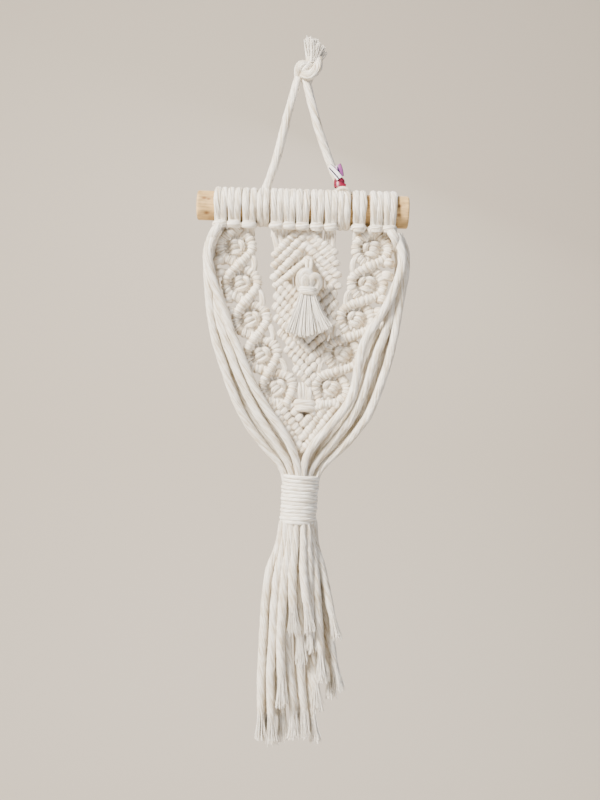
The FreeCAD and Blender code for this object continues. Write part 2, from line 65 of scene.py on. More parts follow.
# %% Camera
CAMERA_DISTANCE = 0.5
CAMERA_AIM = Vector((0.0049, 0, -0.1614))
CAMERA_ROLL = math.radians(2.0)
camera_data = bpy.data.cameras.new("camera")
camera_data.lens = 45
camera = bpy.data.objects.new("camera", camera_data)
facing = Matrix.Rotation(math.radians(90), 4, "X") @ Matrix.Rotation(CAMERA_ROLL, 4, "Z")
camera.matrix_world = Matrix.Translation(CAMERA_AIM + TO_ROOM * CAMERA_DISTANCE) @ facing
bpy.context.scene.collection.objects.link(camera)
bpy.context.scene.camera = camera
print("camera at", [round(v, 3) for v in camera.location])


# %% Colours and the node helper
def linear(hex_colour):
    """An sRGB hex colour as linear RGBA."""
    parts = [int(hex_colour[i:i + 2], 16) / 255 for i in (1, 3, 5)]
    return [p / 12.92 if p <= 0.04045 else ((p + 0.055) / 1.055) ** 2.4 for p in parts] + [1.0]


def add(tree, kind, inputs=None, **settings):
    """Adds one node to a shader or geometry tree. An input is a value, or a socket to link from."""
    node = tree.nodes.new(kind)
    for name, value in settings.items():
        setattr(node, name, value)
    for key, value in (inputs or {}).items():
        if isinstance(value, bpy.types.NodeSocket):
            tree.links.new(value, node.inputs[key])
        else:
            node.inputs[key].default_value = value
    return node


def new_material(name, **constants):
    """A material with a Principled shader. Constants are set on the shader's own sockets."""
    material = bpy.data.materials.new(name)
    material.use_nodes = True
    tree = material.node_tree
    shader = next(n for n in tree.nodes if n.type == "BSDF_PRINCIPLED")
    for socket, value in constants.items():
        shader.inputs[socket.replace("_", " ")].default_value = value
    return material, tree, shader


def new_object(name, mesh):
    """Links a mesh into the scene as an object that sits at the origin."""
    obj = bpy.data.objects.new(name, mesh)
    bpy.context.scene.collection.objects.link(obj)
    return obj


# %% Floor, backdrop and lights
SWEEP_FLOOR_Z = -0.75
SWEEP_BACK_Y = 1.4
SWEEP_FRONT_Y = -1.6
SWEEP_HALF_WIDTH = 2.6
SWEEP_BEND = 0.5
SWEEP_TOP_Z = 1.5
BEND_STEPS = 16
profile = [(SWEEP_FRONT_Y, SWEEP_FLOOR_Z)]
for step in range(BEND_STEPS + 1):
    turn = math.pi / 2 * step / BEND_STEPS
    y = SWEEP_BACK_Y - SWEEP_BEND + SWEEP_BEND * math.sin(turn)
    profile.append((y, SWEEP_FLOOR_Z + SWEEP_BEND * (1 - math.cos(turn))))
profile.append((SWEEP_BACK_Y, SWEEP_TOP_Z))
sweep_mesh = bpy.data.meshes.new("studio_sweep")
corners = [(x, y, z) for y, z in profile for x in (-SWEEP_HALF_WIDTH, SWEEP_HALF_WIDTH)]
quads = [(2 * i, 2 * i + 1, 2 * i + 3, 2 * i + 2) for i in range(len(profile) - 1)]
sweep_mesh.from_pydata(corners, [], quads)
sweep_mesh.shade_smooth()
sweep = new_object("studio_sweep", sweep_mesh)
paper, _, _ = new_material("matte_studio_paper", Base_Color=linear("#D6CCBE"), Roughness=0.95)
sweep_mesh.materials.append(paper)

world = bpy.data.worlds.new("studio_air")
world.use_nodes = True
world.node_tree.nodes["Background"].inputs["Color"].default_value = linear("#F4F1EC")
world.node_tree.nodes["Background"].inputs["Strength"].default_value = 0.16
bpy.context.scene.world = world

LIGHTS = {
    "key_softbox": ((-0.85, -0.75, 0.65), 0.4, 92.0, "#FFF8EE"),
    "fill_softbox": ((0.95, -0.9, -0.1), 0.8, 9.0, "#E3ECFF"),
    "back_softbox": ((0.3, 1.0, 0.7), 0.8, 12.0, "#FFFFFF"),
}
for name, (place, width, watts, colour) in LIGHTS.items():
    lamp = bpy.data.lights.new(name, "AREA")
    lamp.energy = watts
    lamp.size = width
    lamp.color = linear(colour)[:3]
    light = bpy.data.objects.new(name, lamp)
    light.location = place
    light.rotation_euler = (CAMERA_AIM - Vector(place)).to_track_quat("-Z", "Y").to_euler()
    bpy.context.scene.collection.objects.link(light)
print("lights:", ", ".join(LIGHTS))

# %% [markdown]
# ## Cotton
# Every cord here is one loosely spun cotton strand. Its fibres run almost lengthwise, so the
# finish is drawn in a space that goes with the strand: across it, round it and along it, in
# millimetres. Each strand carries that space as an attribute called `fibre`, and a number called
# `strand` that makes it differ from its neighbours.


# %% Cotton materials
def cotton(name, light, deep, fibre_width, relief):
    """Spun cotton: pale streaks along the strand, matt, with a soft sheen from its loose fibres."""
    material, tree, shader = new_material(
        name, Roughness=0.92, Specular_IOR_Level=0.18, Sheen_Weight=0.22, Sheen_Roughness=0.45
    )
    space = add(tree, "ShaderNodeAttribute", attribute_name="fibre")
    which = add(tree, "ShaderNodeAttribute", attribute_name="strand")
    shift = add(tree, "ShaderNodeCombineXYZ", {"Z": which.outputs["Fac"]})
    far = add(tree, "ShaderNodeVectorMath", {0: shift.outputs[0], 1: (0, 0, 97)}, operation="MULTIPLY")
    moved = add(tree, "ShaderNodeVectorMath", {0: space.outputs["Vector"], 1: far.outputs[0]})
    drawn = add(
        tree, "ShaderNodeMapping", {"Vector": moved.outputs[0], "Scale": (1, 1, 0.07)}
    )
    streaks = add(
        tree, "ShaderNodeTexNoise",
        {"Vector": drawn.outputs[0], "Scale": 1 / fibre_width, "Detail": 4.0, "Roughness": 0.6},
    )
    clumps = add(
        tree, "ShaderNodeTexNoise",
        {"Vector": moved.outputs[0], "Scale": 0.22, "Detail": 2.0, "Roughness": 0.5},
    )
    mixed = add(
        tree, "ShaderNodeMath",
        {0: clumps.outputs["Fac"], 1: 0.3, 2: streaks.outputs["Fac"]}, operation="MULTIPLY_ADD",
    )
    tone = add(tree, "ShaderNodeMapRange", {
        "Value": mixed.outputs[0], "From Min": 0.50, "From Max": 0.72, "To Min": 0.0, "To Max": 1.0,
    })
    colour = add(
        tree, "ShaderNodeMix",
        {0: tone.outputs[0], 6: linear(deep), 7: linear(light)}, data_type="RGBA",
    )
    tree.links.new(colour.outputs[2], shader.inputs["Base Color"])
    bump = add(
        tree, "ShaderNodeBump",
        {"Height": streaks.outputs["Fac"], "Strength": 1.0, "Distance": relief * MM},
    )
    tree.links.new(bump.outputs[0], shader.inputs["Normal"])
    return material


CORD_COTTON = cotton("spun_cotton_cord", "#FBF5E9", "#CFBFA4", 0.75, 1.3)
KNOT_COTTON = cotton("knotted_cotton_cord", "#F9F2E5", "#CBB99C", 0.70, 1.0)
TWINE_COTTON = cotton("smooth_cotton_twine", "#FCF9F0", "#DACDB8", 0.50, 0.6)
COMBED_COTTON = cotton("combed_cotton_fibre", "#FFFCF5", "#DFD3BE", 0.25, 0.2)
print("cotton:", [m.name for m in (CORD_COTTON, KNOT_COTTON, TWINE_COTTON, COMBED_COTTON)])

# %% [markdown]
# ## One strand of cotton
# A strand is a profile swept along a path. Geometry Nodes do that: a circle is scaled to the
# strand's width and thickness, swept, and pushed in and out a little by a noise that is stretched
# along the strand, which gives the long shallow ridges of loosely spun cotton. The same group
# makes a fat swag cord, a flat turn round the dowel and a thread of the wrap.


# %% The spun strand
def group_with(name, inputs):
    """A geometry tree with the given named inputs and one geometry output."""
    tree = bpy.data.node_groups.new(name, "GeometryNodeTree")
    tree.interface.new_socket("Geometry", in_out="INPUT", socket_type="NodeSocketGeometry")
    for label, kind, value in inputs:
        socket = tree.interface.new_socket(label, in_out="INPUT", socket_type="NodeSocket" + kind)
        if value is not None:
            socket.default_value = value
    tree.interface.new_socket("Geometry", in_out="OUTPUT", socket_type="NodeSocketGeometry")
    return tree, tree.nodes.new("NodeGroupInput"), tree.nodes.new("NodeGroupOutput")


def spun_strand_group():
    """Curve in, strand out. Sizes are in millimetres, as a maker would say them."""
    tree, given, result = group_with("spun_strand", [
        ("Width", "Float", 4.2), ("Thickness", "Float", 4.2), ("Sides", "Int", 24),
        ("Ridge", "Float", 0.12), ("Ridge width", "Float", 0.9), ("Lay", "Float", 60.0),
    ])
    path = add(tree, "GeometryNodeSplineParameter")
    along = add(tree, "ShaderNodeMath", {0: path.outputs["Length"], 1: 1 / MM}, operation="MULTIPLY")
    marked = add(tree, "GeometryNodeStoreNamedAttribute", {
        "Geometry": given.outputs["Geometry"], "Name": "along", "Value": along.outputs[0],
    }, data_type="FLOAT", domain="POINT")
    circle = add(tree, "GeometryNodeCurvePrimitiveCircle", {
        "Resolution": given.outputs["Sides"], "Radius": 0.5,
    })
    here = add(tree, "GeometryNodeInputPosition")
    ringed = add(tree, "GeometryNodeStoreNamedAttribute", {
        "Geometry": circle.outputs["Curve"], "Name": "ring", "Value": here.outputs[0],
    }, data_type="FLOAT_VECTOR", domain="POINT")
    shape = add(tree, "ShaderNodeCombineXYZ", {
        "X": given.outputs["Thickness"], "Y": given.outputs["Width"], "Z": 1.0,
    })
    metres = add(tree, "ShaderNodeVectorMath", {0: shape.outputs[0], "Scale": MM}, operation="SCALE")
    section = add(tree, "GeometryNodeTransform", {
        "Geometry": ringed.outputs[0], "Scale": metres.outputs[0],
    })
    girth = add(tree, "GeometryNodeInputNamedAttribute", {"Name": "girth"}, data_type="FLOAT")
    scale = add(tree, "GeometryNodeSwitch", {
        "Switch": girth.outputs["Exists"], "False": 1.0, "True": girth.outputs[0],
    }, input_type="FLOAT")
    tube = add(tree, "GeometryNodeCurveToMesh", {
        "Curve": marked.outputs[0], "Profile Curve": section.outputs[0],
        "Scale": scale.outputs[0], "Fill Caps": True,
    })
    ring = add(tree, "GeometryNodeInputNamedAttribute", {"Name": "ring"}, data_type="FLOAT_VECTOR")
    length = add(tree, "GeometryNodeInputNamedAttribute", {"Name": "along"}, data_type="FLOAT")
    turns = add(tree, "ShaderNodeMath", {
        0: length.outputs[0], 1: given.outputs["Lay"],
    }, operation="DIVIDE")
    twist = add(tree, "ShaderNodeMath", {0: turns.outputs[0], 1: math.tau}, operation="MULTIPLY")
    turned = add(tree, "ShaderNodeVectorRotate", {
        "Vector": ring.outputs[0], "Axis": (0, 0, 1), "Angle": twist.outputs[0],
    })
    sized = add(tree, "ShaderNodeVectorMath", {
        0: turned.outputs[0], "Scale": given.outputs["Width"],
    }, operation="SCALE")
    lengthwise = add(tree, "ShaderNodeCombineXYZ", {"Z": length.outputs[0]})
    fibre = add(tree, "ShaderNodeVectorMath", {0: sized.outputs[0], 1: lengthwise.outputs[0]})
    kept = add(tree, "GeometryNodeStoreNamedAttribute", {
        "Geometry": tube.outputs[0], "Name": "fibre", "Value": fibre.outputs[0],
    }, data_type="FLOAT_VECTOR", domain="POINT")
    strand = add(tree, "GeometryNodeInputNamedAttribute", {"Name": "strand"}, data_type="FLOAT")
    own = add(tree, "ShaderNodeMath", {0: strand.outputs[0], 1: 50.0}, operation="MULTIPLY")
    stretched = add(tree, "ShaderNodeVectorMath", {
        0: fibre.outputs[0], 1: (1, 1, 0.09),
    }, operation="MULTIPLY")
    fineness = add(tree, "ShaderNodeMath", {
        0: 1.0, 1: given.outputs["Ridge width"],
    }, operation="DIVIDE")
    noise = add(tree, "ShaderNodeTexNoise", {
        "Vector": stretched.outputs[0], "W": own.outputs[0], "Scale": fineness.outputs[0],
        "Detail": 2.0, "Roughness": 0.55,
    }, noise_dimensions="4D")
    centred = add(tree, "ShaderNodeMath", {0: noise.outputs["Fac"], 1: 0.5}, operation="SUBTRACT")
    height = add(tree, "ShaderNodeMath", {
        0: centred.outputs[0], 1: given.outputs["Ridge"],
    }, operation="MULTIPLY")
    metres_high = add(tree, "ShaderNodeMath", {0: height.outputs[0], 1: 4 * MM}, operation="MULTIPLY")
    normal = add(tree, "GeometryNodeInputNormal")
    push = add(tree, "ShaderNodeVectorMath", {
        0: normal.outputs[0], "Scale": metres_high.outputs[0],
    }, operation="SCALE")
    ridged = add(tree, "GeometryNodeSetPosition", {
        "Geometry": kept.outputs[0], "Offset": push.outputs[0],
    })
    smooth = add(tree, "GeometryNodeSetShadeSmooth", {"Geometry": ridged.outputs[0]})
    tree.links.new(smooth.outputs[0], result.inputs[0])
    return tree


SPUN_STRAND = spun_strand_group()
print("group:", SPUN_STRAND.name, len(SPUN_STRAND.nodes), "nodes")


# %% Facing the room
def faced_curve(tree, geometry, step, selection=True):
    """An evenly cut curve from path edges. Its normals are the paths' own `outward` vectors."""
    curve = add(tree, "GeometryNodeMeshToCurve", {"Mesh": geometry, "Selection": selection})
    even = add(tree, "GeometryNodeResampleCurve", {
        "Curve": curve.outputs[0], "Length": step,
    }, mode="LENGTH")
    outward = add(tree, "GeometryNodeInputNamedAttribute", {"Name": "outward"}, data_type="FLOAT_VECTOR")
    tangent = add(tree, "GeometryNodeInputTangent")
    across = add(tree, "ShaderNodeVectorMath", {
        0: tangent.outputs[0], 1: outward.outputs[0],
    }, operation="CROSS_PRODUCT")
    upright = add(tree, "ShaderNodeVectorMath", {
        0: across.outputs[0], 1: tangent.outputs[0],
    }, operation="CROSS_PRODUCT")
    return add(tree, "GeometryNodeSetCurveNormal", {
        "Curve": even.outputs[0], "Normal": upright.outputs[0],
    }, mode="FREE").outputs[0]


def cord_tree():
    """Lays a strand along every path of the input mesh."""
    tree, given, result = group_with("laid_cord", [
        ("Step", "Float", 0.0009), ("Width", "Float", 4.2), ("Thickness", "Float", 4.2),
        ("Sides", "Int", 28), ("Ridge", "Float", 0.12), ("Ridge width", "Float", 0.9),
        ("Lay", "Float", 60.0), ("Material", "Material", None),
    ])
    curve = faced_curve(tree, given.outputs["Geometry"], given.outputs["Step"])
    strand = add(tree, "GeometryNodeGroup", {}, node_tree=SPUN_STRAND)
    tree.links.new(curve, strand.inputs["Geometry"])
    for label in ("Width", "Thickness", "Sides", "Ridge", "Ridge width", "Lay"):
        tree.links.new(given.outputs[label], strand.inputs[label])
    real = add(tree, "GeometryNodeRealizeInstances", {"Geometry": strand.outputs[0]})
    painted = add(tree, "GeometryNodeSetMaterial", {
        "Geometry": real.outputs[0], "Material": given.outputs["Material"],
    })
    tree.links.new(painted.outputs[0], result.inputs[0])
    return tree


LAID_CORD = cord_tree()
SPARE_ATTRIBUTES = ("along", "ring", "outward", "girth", "copy", "row", "lean")


def grow(name, source, tree, **inputs):
    """Runs a geometry tree on a mesh with the given inputs, and keeps the result as a plain mesh."""
    carrier = new_object(name, source)
    modifier = carrier.modifiers.new("grow", "NODES")
    modifier.node_group = tree
    for socket in tree.interface.items_tree:
        if socket.in_out == "INPUT" and socket.name.replace(" ", "_") in inputs:
            modifier[socket.identifier] = inputs[socket.name.replace(" ", "_")]
    evaluated = carrier.evaluated_get(bpy.context.evaluated_depsgraph_get())
    mesh = bpy.data.meshes.new_from_object(evaluated)
    carrier.modifiers.remove(modifier)
    carrier.data = mesh
    mesh.name = name
    for spare in SPARE_ATTRIBUTES:
        if spare in mesh.attributes:
            mesh.attributes.remove(mesh.attributes[spare])
    print(f"{name}: {len(mesh.polygons)} faces")
    return carrier


def paths_mesh(paths, outward=None, girth=None, seed=1, rows=(), lean=()):
    """Paths as mesh edges, with what each needs: a direction to face, a girth, a random number.

    Paths whose index is in rows are rows of hitches, and the others are plain cords.
    """
    rng = random.Random(seed)
    mesh = bpy.data.meshes.new("paths")
    points, edges = [], []
    marks = {"outward": [], "strand": [], "girth": [], "row": [], "lean": []}
    for index, path in enumerate(paths):
        first = len(points)
        points += [Vector(p) for p in path]
        edges += [(first + i, first + i + 1) for i in range(len(path) - 1)]
        facing = outward[index] if outward else [TO_ROOM] * len(path)
        marks["outward"] += [value for vector in facing for value in vector]
        marks["strand"] += [rng.random()] * len(path)
        marks["girth"] += girth[index] if girth else [1.0] * len(path)
        marks["row"] += [1.0 if index in rows else 0.0] * len(path)
        marks["lean"] += [1.0 if index in lean else 0.0] * len(path)
    mesh.from_pydata(points, edges, [])
    for label, values in marks.items():
        kind = "FLOAT_VECTOR" if label == "outward" else "FLOAT"
        attribute = mesh.attributes.new(label, kind, "POINT")
        attribute.data.foreach_set("vector" if label == "outward" else "value", values)
    return mesh


# %% [markdown]
# ## The loose cords
# The hanger's two legs, the five swags on each side and the twenty cords of the fringe are free
# cords. Each has the CAD model's own route as the control points of a NURBS curve, which is how
# a soft cord bends: smoothly, and never through its control points like bent wire.


# %% Routes of the free cords, in metres
CURVE_RESOLUTION = 8


def smooth_paths(routes):
    """The points of smooth curves, whose control points are the routes."""
    curve = bpy.data.curves.new("routes", "CURVE")
    curve.dimensions = "3D"
    for route in routes:
        spline = curve.splines.new("NURBS")
        spline.points.add(len(route) - 1)
        for point, place in zip(spline.points, route):
            point.co = (*place, 1.0)
        spline.order_u = 3
        spline.use_endpoint_u = True
        spline.resolution_u = CURVE_RESOLUTION
    carrier = bpy.data.objects.new("routes", curve)
    bpy.context.scene.collection.objects.link(carrier)
    evaluated = carrier.evaluated_get(bpy.context.evaluated_depsgraph_get())
    mesh = bpy.data.meshes.new_from_object(evaluated)
    joined = {min(edge.vertices) for edge in mesh.edges}
    paths = [[]]
    for vertex in mesh.vertices:
        paths[-1].append(vertex.co.copy())
        if vertex.index not in joined:
            paths.append([])
    bpy.data.objects.remove(carrier)
    bpy.data.curves.remove(curve)
    bpy.data.meshes.remove(mesh)
    return paths[:-1]


def smooth_path(route):
    """The points of one smooth curve."""
    return smooth_paths([route])[0]


def in_millimetres(routes):
    """Routes given in millimetres, as smooth paths in metres."""
    return smooth_paths([[Vector(p) * MM for p in route] for route in routes])


CORD_DIAMETER = 0.0042
HANGER_LEGS = {
    "hanger_left_leg": [
        (-0.0014, 0, -0.0004), (-0.0052, -0.0002, -0.0146), (-0.0082, -0.0003, -0.0290),
        (-0.0116, -0.0002, -0.0436), (-0.0157, 0, -0.0566),
    ],
    "hanger_right_leg": [
        (0.0022, 0, -0.0006), (0.0062, -0.0002, -0.0155), (0.0112, -0.0003, -0.0310),
        (0.0168, -0.0003, -0.0455), (0.0229, 0, -0.0567),
    ],
}
SWAGS = {
    "left_swag_1": [
        (-0.0394, -0.0056, -0.0780), (-0.0426, -0.0060, -0.0835), (-0.0436, -0.0062, -0.0915),
        (-0.0428, -0.0060, -0.1010), (-0.0418, -0.0058, -0.1110), (-0.0404, -0.0056, -0.1215),
        (-0.0386, -0.0056, -0.1310), (-0.0354, -0.0058, -0.1405), (-0.0310, -0.0056, -0.1525),
        (-0.0252, -0.0054, -0.1665), (-0.0182, -0.0048, -0.1775), (-0.0102, -0.0038, -0.1872),
        (-0.0016, -0.0024, -0.1958),
    ],
    "left_swag_2": [
        (-0.0390, -0.0014, -0.0785), (-0.0422, -0.0004, -0.0845), (-0.0432, 0, -0.0930),
        (-0.0420, -0.0002, -0.1030), (-0.0404, -0.0008, -0.1135), (-0.0384, -0.0012, -0.1235),
        (-0.0356, -0.0014, -0.1345), (-0.0324, -0.0014, -0.1450), (-0.0278, -0.0016, -0.1555),
        (-0.0226, -0.0014, -0.1660), (-0.0150, -0.0008, -0.1768), (-0.0074, 0.0006, -0.1866),
        (0.0004, 0.0024, -0.1958),
    ],
    "left_swag_3": [
        (-0.0384, -0.0044, -0.0788), (-0.0414, -0.0034, -0.0855), (-0.0422, -0.0032, -0.0940),
        (-0.0408, -0.0036, -0.1035), (-0.0388, -0.0050, -0.1130), (-0.0364, -0.0062, -0.1230),
        (-0.0328, -0.0064, -0.1335), (-0.0286, -0.0066, -0.1440), (-0.0236, -0.0064, -0.1550),
        (-0.0182, -0.0064, -0.1655), (-0.0112, -0.0062, -0.1760), (-0.0040, -0.0054, -0.1866),
        (0.0022, -0.0044, -0.1958),
    ],
    "left_swag_4": [
        (-0.0378, -0.0010, -0.0795), (-0.0408, 0.0016, -0.0870), (-0.0412, 0.0024, -0.0960),
        (-0.0392, 0.0012, -0.1055), (-0.0370, -0.0004, -0.1145), (-0.0344, -0.0016, -0.1235),
        (-0.0306, -0.0020, -0.1330), (-0.0266, -0.0022, -0.1430), (-0.0214, -0.0020, -0.1535),
        (-0.0156, -0.0018, -0.1640), (-0.0080, -0.0006, -0.1755), (-0.0012, 0.0018, -0.1865),
        (0.0044, 0.0046, -0.1958),
    ],
    "left_swag_5": [
        (-0.0380, -0.0076, -0.0790), (-0.0418, -0.0088, -0.0850), (-0.0428, -0.0094, -0.0920),
        (-0.0408, -0.0088, -0.1010), (-0.0380, -0.0084, -0.1090), (-0.0338, -0.0080, -0.1185),
        (-0.0304, -0.0078, -0.1290), (-0.0260, -0.0077, -0.1380), (-0.0218, -0.0078, -0.1480),
        (-0.0170, -0.0080, -0.1575), (-0.0106, -0.0082, -0.1675), (-0.0032, -0.0086, -0.1765),
        (0.0018, -0.0082, -0.1850), (0.0056, -0.0066, -0.1958),
    ],
    "right_swag_1": [
        (0.0508, -0.0054, -0.0780), (0.0540, -0.0060, -0.0840), (0.0552, -0.0062, -0.0930),
        (0.0538, -0.0056, -0.1040), (0.0522, -0.0052, -0.1140), (0.0510, -0.0054, -0.1245),
        (0.0484, -0.0056, -0.1390), (0.0442, -0.0056, -0.1535), (0.0398, -0.0054, -0.1660),
        (0.0364, -0.0050, -0.1720), (0.0274, -0.0042, -0.1840), (0.0146, -0.0026, -0.1958),
    ],
    "right_swag_2": [
        (0.0504, -0.0018, -0.0785), (0.0540, -0.0006, -0.0855), (0.0548, -0.0002, -0.0945),
        (0.0534, -0.0006, -0.1045), (0.0510, -0.0010, -0.1150), (0.0482, -0.0014, -0.1260),
        (0.0450, -0.0016, -0.1385), (0.0410, -0.0016, -0.1510), (0.0368, -0.0012, -0.1630),
        (0.0310, -0.0004, -0.1745), (0.0224, 0.0008, -0.1855), (0.0128, 0.0026, -0.1958),
    ],
    "right_swag_3": [
        (0.0498, -0.0048, -0.0785), (0.0530, -0.0034, -0.0860), (0.0536, -0.0032, -0.0950),
        (0.0518, -0.0034, -0.1050), (0.0490, -0.0046, -0.1150), (0.0458, -0.0062, -0.1265),
        (0.0418, -0.0064, -0.1380), (0.0380, -0.0064, -0.1500), (0.0346, -0.0064, -0.1610),
        (0.0296, -0.0062, -0.1715), (0.0196, -0.0054, -0.1845), (0.0106, -0.0044, -0.1958),
    ],
    "right_swag_4": [
        (0.0492, -0.0010, -0.0790), (0.0520, 0.0014, -0.0865), (0.0524, 0.0024, -0.0950),
        (0.0502, 0.0010, -0.1055), (0.0468, -0.0006, -0.1160), (0.0432, -0.0016, -0.1270),
        (0.0398, -0.0020, -0.1385), (0.0364, -0.0018, -0.1505), (0.0314, -0.0014, -0.1630),
        (0.0238, -0.0004, -0.1745), (0.0148, 0.0018, -0.1870), (0.0086, 0.0046, -0.1958),
    ],
    "right_swag_5": [
        (0.0496, -0.0078, -0.0785), (0.0526, -0.0088, -0.0855), (0.0530, -0.0094, -0.0940),
        (0.0502, -0.0088, -0.1030), (0.0466, -0.0084, -0.1125), (0.0418, -0.0080, -0.1208),
        (0.0358, -0.0078, -0.1305), (0.0332, -0.0078, -0.1410), (0.0322, -0.0079, -0.1520),
        (0.0296, -0.0080, -0.1610), (0.0254, -0.0082, -0.1675), (0.0168, -0.0086, -0.1775),
        (0.0099, -0.0078, -0.1865), (0.0076, -0.0062, -0.1958),
    ],
}
FRINGE = {
    "fringe_cord_01": [
        (-0.0025, -0.0036, -0.2328), (-0.0070, -0.0042, -0.2440), (-0.0089, -0.0048, -0.2590),
        (-0.0090, -0.0042, -0.2760), (-0.0097, -0.0038, -0.2940), (-0.0092, -0.0030, -0.3130),
        (-0.0090, -0.0036, -0.3310),
    ],
    "fringe_cord_02": [
        (0.0000, -0.0056, -0.2328), (-0.0033, -0.0066, -0.2460), (-0.0042, -0.0070, -0.2620),
        (-0.0045, -0.0064, -0.2795), (-0.0052, -0.0058, -0.2975), (-0.0040, -0.0052, -0.3155),
        (-0.0026, -0.0056, -0.3330),
    ],
    "fringe_cord_03": [
        (0.0026, -0.0069, -0.2328), (0.0003, -0.0080, -0.2470), (-0.0003, -0.0086, -0.2630),
        (-0.0007, -0.0078, -0.2800), (0.0004, -0.0074, -0.2970), (0.0012, -0.0080, -0.3130),
    ],
    "fringe_cord_04": [
        (0.0051, -0.0074, -0.2328), (0.0038, -0.0086, -0.2460), (0.0046, -0.0094, -0.2610),
        (0.0066, -0.0090, -0.2770),
    ],
    "fringe_cord_05": [
        (0.0090, -0.0074, -0.2328), (0.0095, -0.0086, -0.2460), (0.0116, -0.0094, -0.2610),
        (0.0142, -0.0092, -0.2765),
    ],
    "fringe_cord_06": [
        (0.0115, -0.0060, -0.2328), (0.0128, -0.0064, -0.2490), (0.0134, -0.0062, -0.2680),
        (0.0150, -0.0068, -0.2865),
    ],
    "fringe_cord_07": [
        (0.0067, -0.0038, -0.2328), (0.0071, -0.0050, -0.2470), (0.0082, -0.0054, -0.2620),
        (0.0092, -0.0062, -0.2770), (0.0103, -0.0064, -0.2925),
    ],
    "fringe_cord_08": [
        (0.0133, -0.0036, -0.2328), (0.0157, -0.0046, -0.2470), (0.0170, -0.0054, -0.2630),
        (0.0190, -0.0058, -0.2820), (0.0212, -0.0062, -0.3010),
    ],
    "fringe_cord_09": [
        (0.0146, -0.0009, -0.2328), (0.0190, -0.0016, -0.2450), (0.0218, -0.0024, -0.2575),
        (0.0249, -0.0026, -0.2695), (0.0276, -0.0032, -0.2805),
    ],
    "fringe_cord_10": [
        (0.0144, 0.0020, -0.2328), (0.0183, 0.0014, -0.2460), (0.0206, 0.0008, -0.2610),
        (0.0236, 0.0002, -0.2770), (0.0264, -0.0008, -0.2920), (0.0298, -0.0012, -0.3060),
    ],
    "fringe_cord_11": [
        (0.0128, 0.0045, -0.2328), (0.0159, 0.0038, -0.2470), (0.0184, 0.0032, -0.2635),
        (0.0216, 0.0026, -0.2800), (0.0244, 0.0020, -0.2960), (0.0258, 0.0012, -0.3110),
    ],
    "fringe_cord_12": [
        (0.0103, -0.0018, -0.2328), (0.0119, -0.0024, -0.2490), (0.0136, -0.0020, -0.2660),
        (0.0154, -0.0018, -0.2830), (0.0170, -0.0024, -0.3000), (0.0196, -0.0028, -0.3165),
    ],
    "fringe_cord_13": [
        (0.0100, 0.0020, -0.2328), (0.0115, 0.0014, -0.2490), (0.0124, 0.0018, -0.2670),
        (0.0138, 0.0012, -0.2850), (0.0146, 0.0006, -0.3020), (0.0164, 0.0002, -0.3175),
        (0.0188, -0.0006, -0.3325),
    ],
    "fringe_cord_14": [
        (0.0062, 0.0004, -0.2328), (0.0066, -0.0008, -0.2490), (0.0078, -0.0014, -0.2670),
        (0.0086, -0.0016, -0.2850), (0.0102, -0.0022, -0.3015), (0.0123, -0.0026, -0.3160),
        (0.0131, -0.0032, -0.3295),
    ],
    "fringe_cord_15": [
        (0.0026, -0.0029, -0.2328), (0.0022, -0.0042, -0.2480), (0.0022, -0.0038, -0.2660),
        (0.0028, -0.0036, -0.2840), (0.0051, -0.0042, -0.3005), (0.0073, -0.0048, -0.3160),
        (0.0076, -0.0044, -0.3300),
    ],
    "fringe_cord_16": [
        (0.0023, 0.0009, -0.2328), (0.0013, 0.0004, -0.2490), (0.0004, 0.0008, -0.2670),
        (-0.0004, 0.0002, -0.2860), (0.0002, -0.0004, -0.3040), (0.0015, -0.0002, -0.3185),
        (0.0023, -0.0008, -0.3320),
    ],
    "fringe_cord_17": [
        (-0.0013, -0.0004, -0.2328), (-0.0039, -0.0008, -0.2460), (-0.0052, -0.0006, -0.2620),
        (-0.0066, -0.0004, -0.2800), (-0.0068, 0.0002, -0.2980), (-0.0064, 0.0006, -0.3160),
        (-0.0058, 0.0002, -0.3325),
    ],
    "fringe_cord_18": [
        (0.0098, 0.0058, -0.2328), (0.0121, 0.0062, -0.2490), (0.0142, 0.0062, -0.2680),
        (0.0162, 0.0058, -0.2870), (0.0170, 0.0052, -0.3060),
    ],
    "fringe_cord_19": [
        (0.0062, 0.0054, -0.2328), (0.0064, 0.0052, -0.2490), (0.0072, 0.0054, -0.2670),
        (0.0080, 0.0048, -0.2860), (0.0094, 0.0044, -0.3060), (0.0105, 0.0040, -0.3265),
    ],
    "fringe_cord_20": [
        (0.0026, 0.0049, -0.2328), (0.0007, 0.0050, -0.2480), (-0.0012, 0.0052, -0.2660),
        (-0.0022, 0.0048, -0.2850), (-0.0024, 0.0042, -0.3040), (-0.0016, 0.0038, -0.3220),
    ],
}
print("free cords:", len(HANGER_LEGS) + len(SWAGS) + len(FRINGE))

# %% Where the swags and the fringe go into the wrap
wrap_low, wrap_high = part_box("gathering_wrap")
WRAP_CENTRE = (wrap_low + wrap_high) / 2
WRAP_TOP = wrap_high.z
WRAP_FOOT = wrap_low.z
TUCK = 0.003
SQUEEZE = 0.02
SQUEEZED_GIRTH = 0.8
DRAWN_IN = 0.92


def into_wrap(end, z):
    """A point inside the wrap, nearer its axis than the cord's end, so that the cords bunch up."""
    place = WRAP_CENTRE.lerp(Vector(end), DRAWN_IN)
    return (place.x, place.y, z)


def squeezed(points):
    """Girth along a cord: full, but for the stretch that the wrap pulls tight."""
    girths = []
    for point in points:
        away = max(point.z - WRAP_TOP, WRAP_FOOT - point.z, 0.0)
        girths.append(min(SQUEEZED_GIRTH + (1 - SQUEEZED_GIRTH) * away / SQUEEZE, 1.0))
    return girths


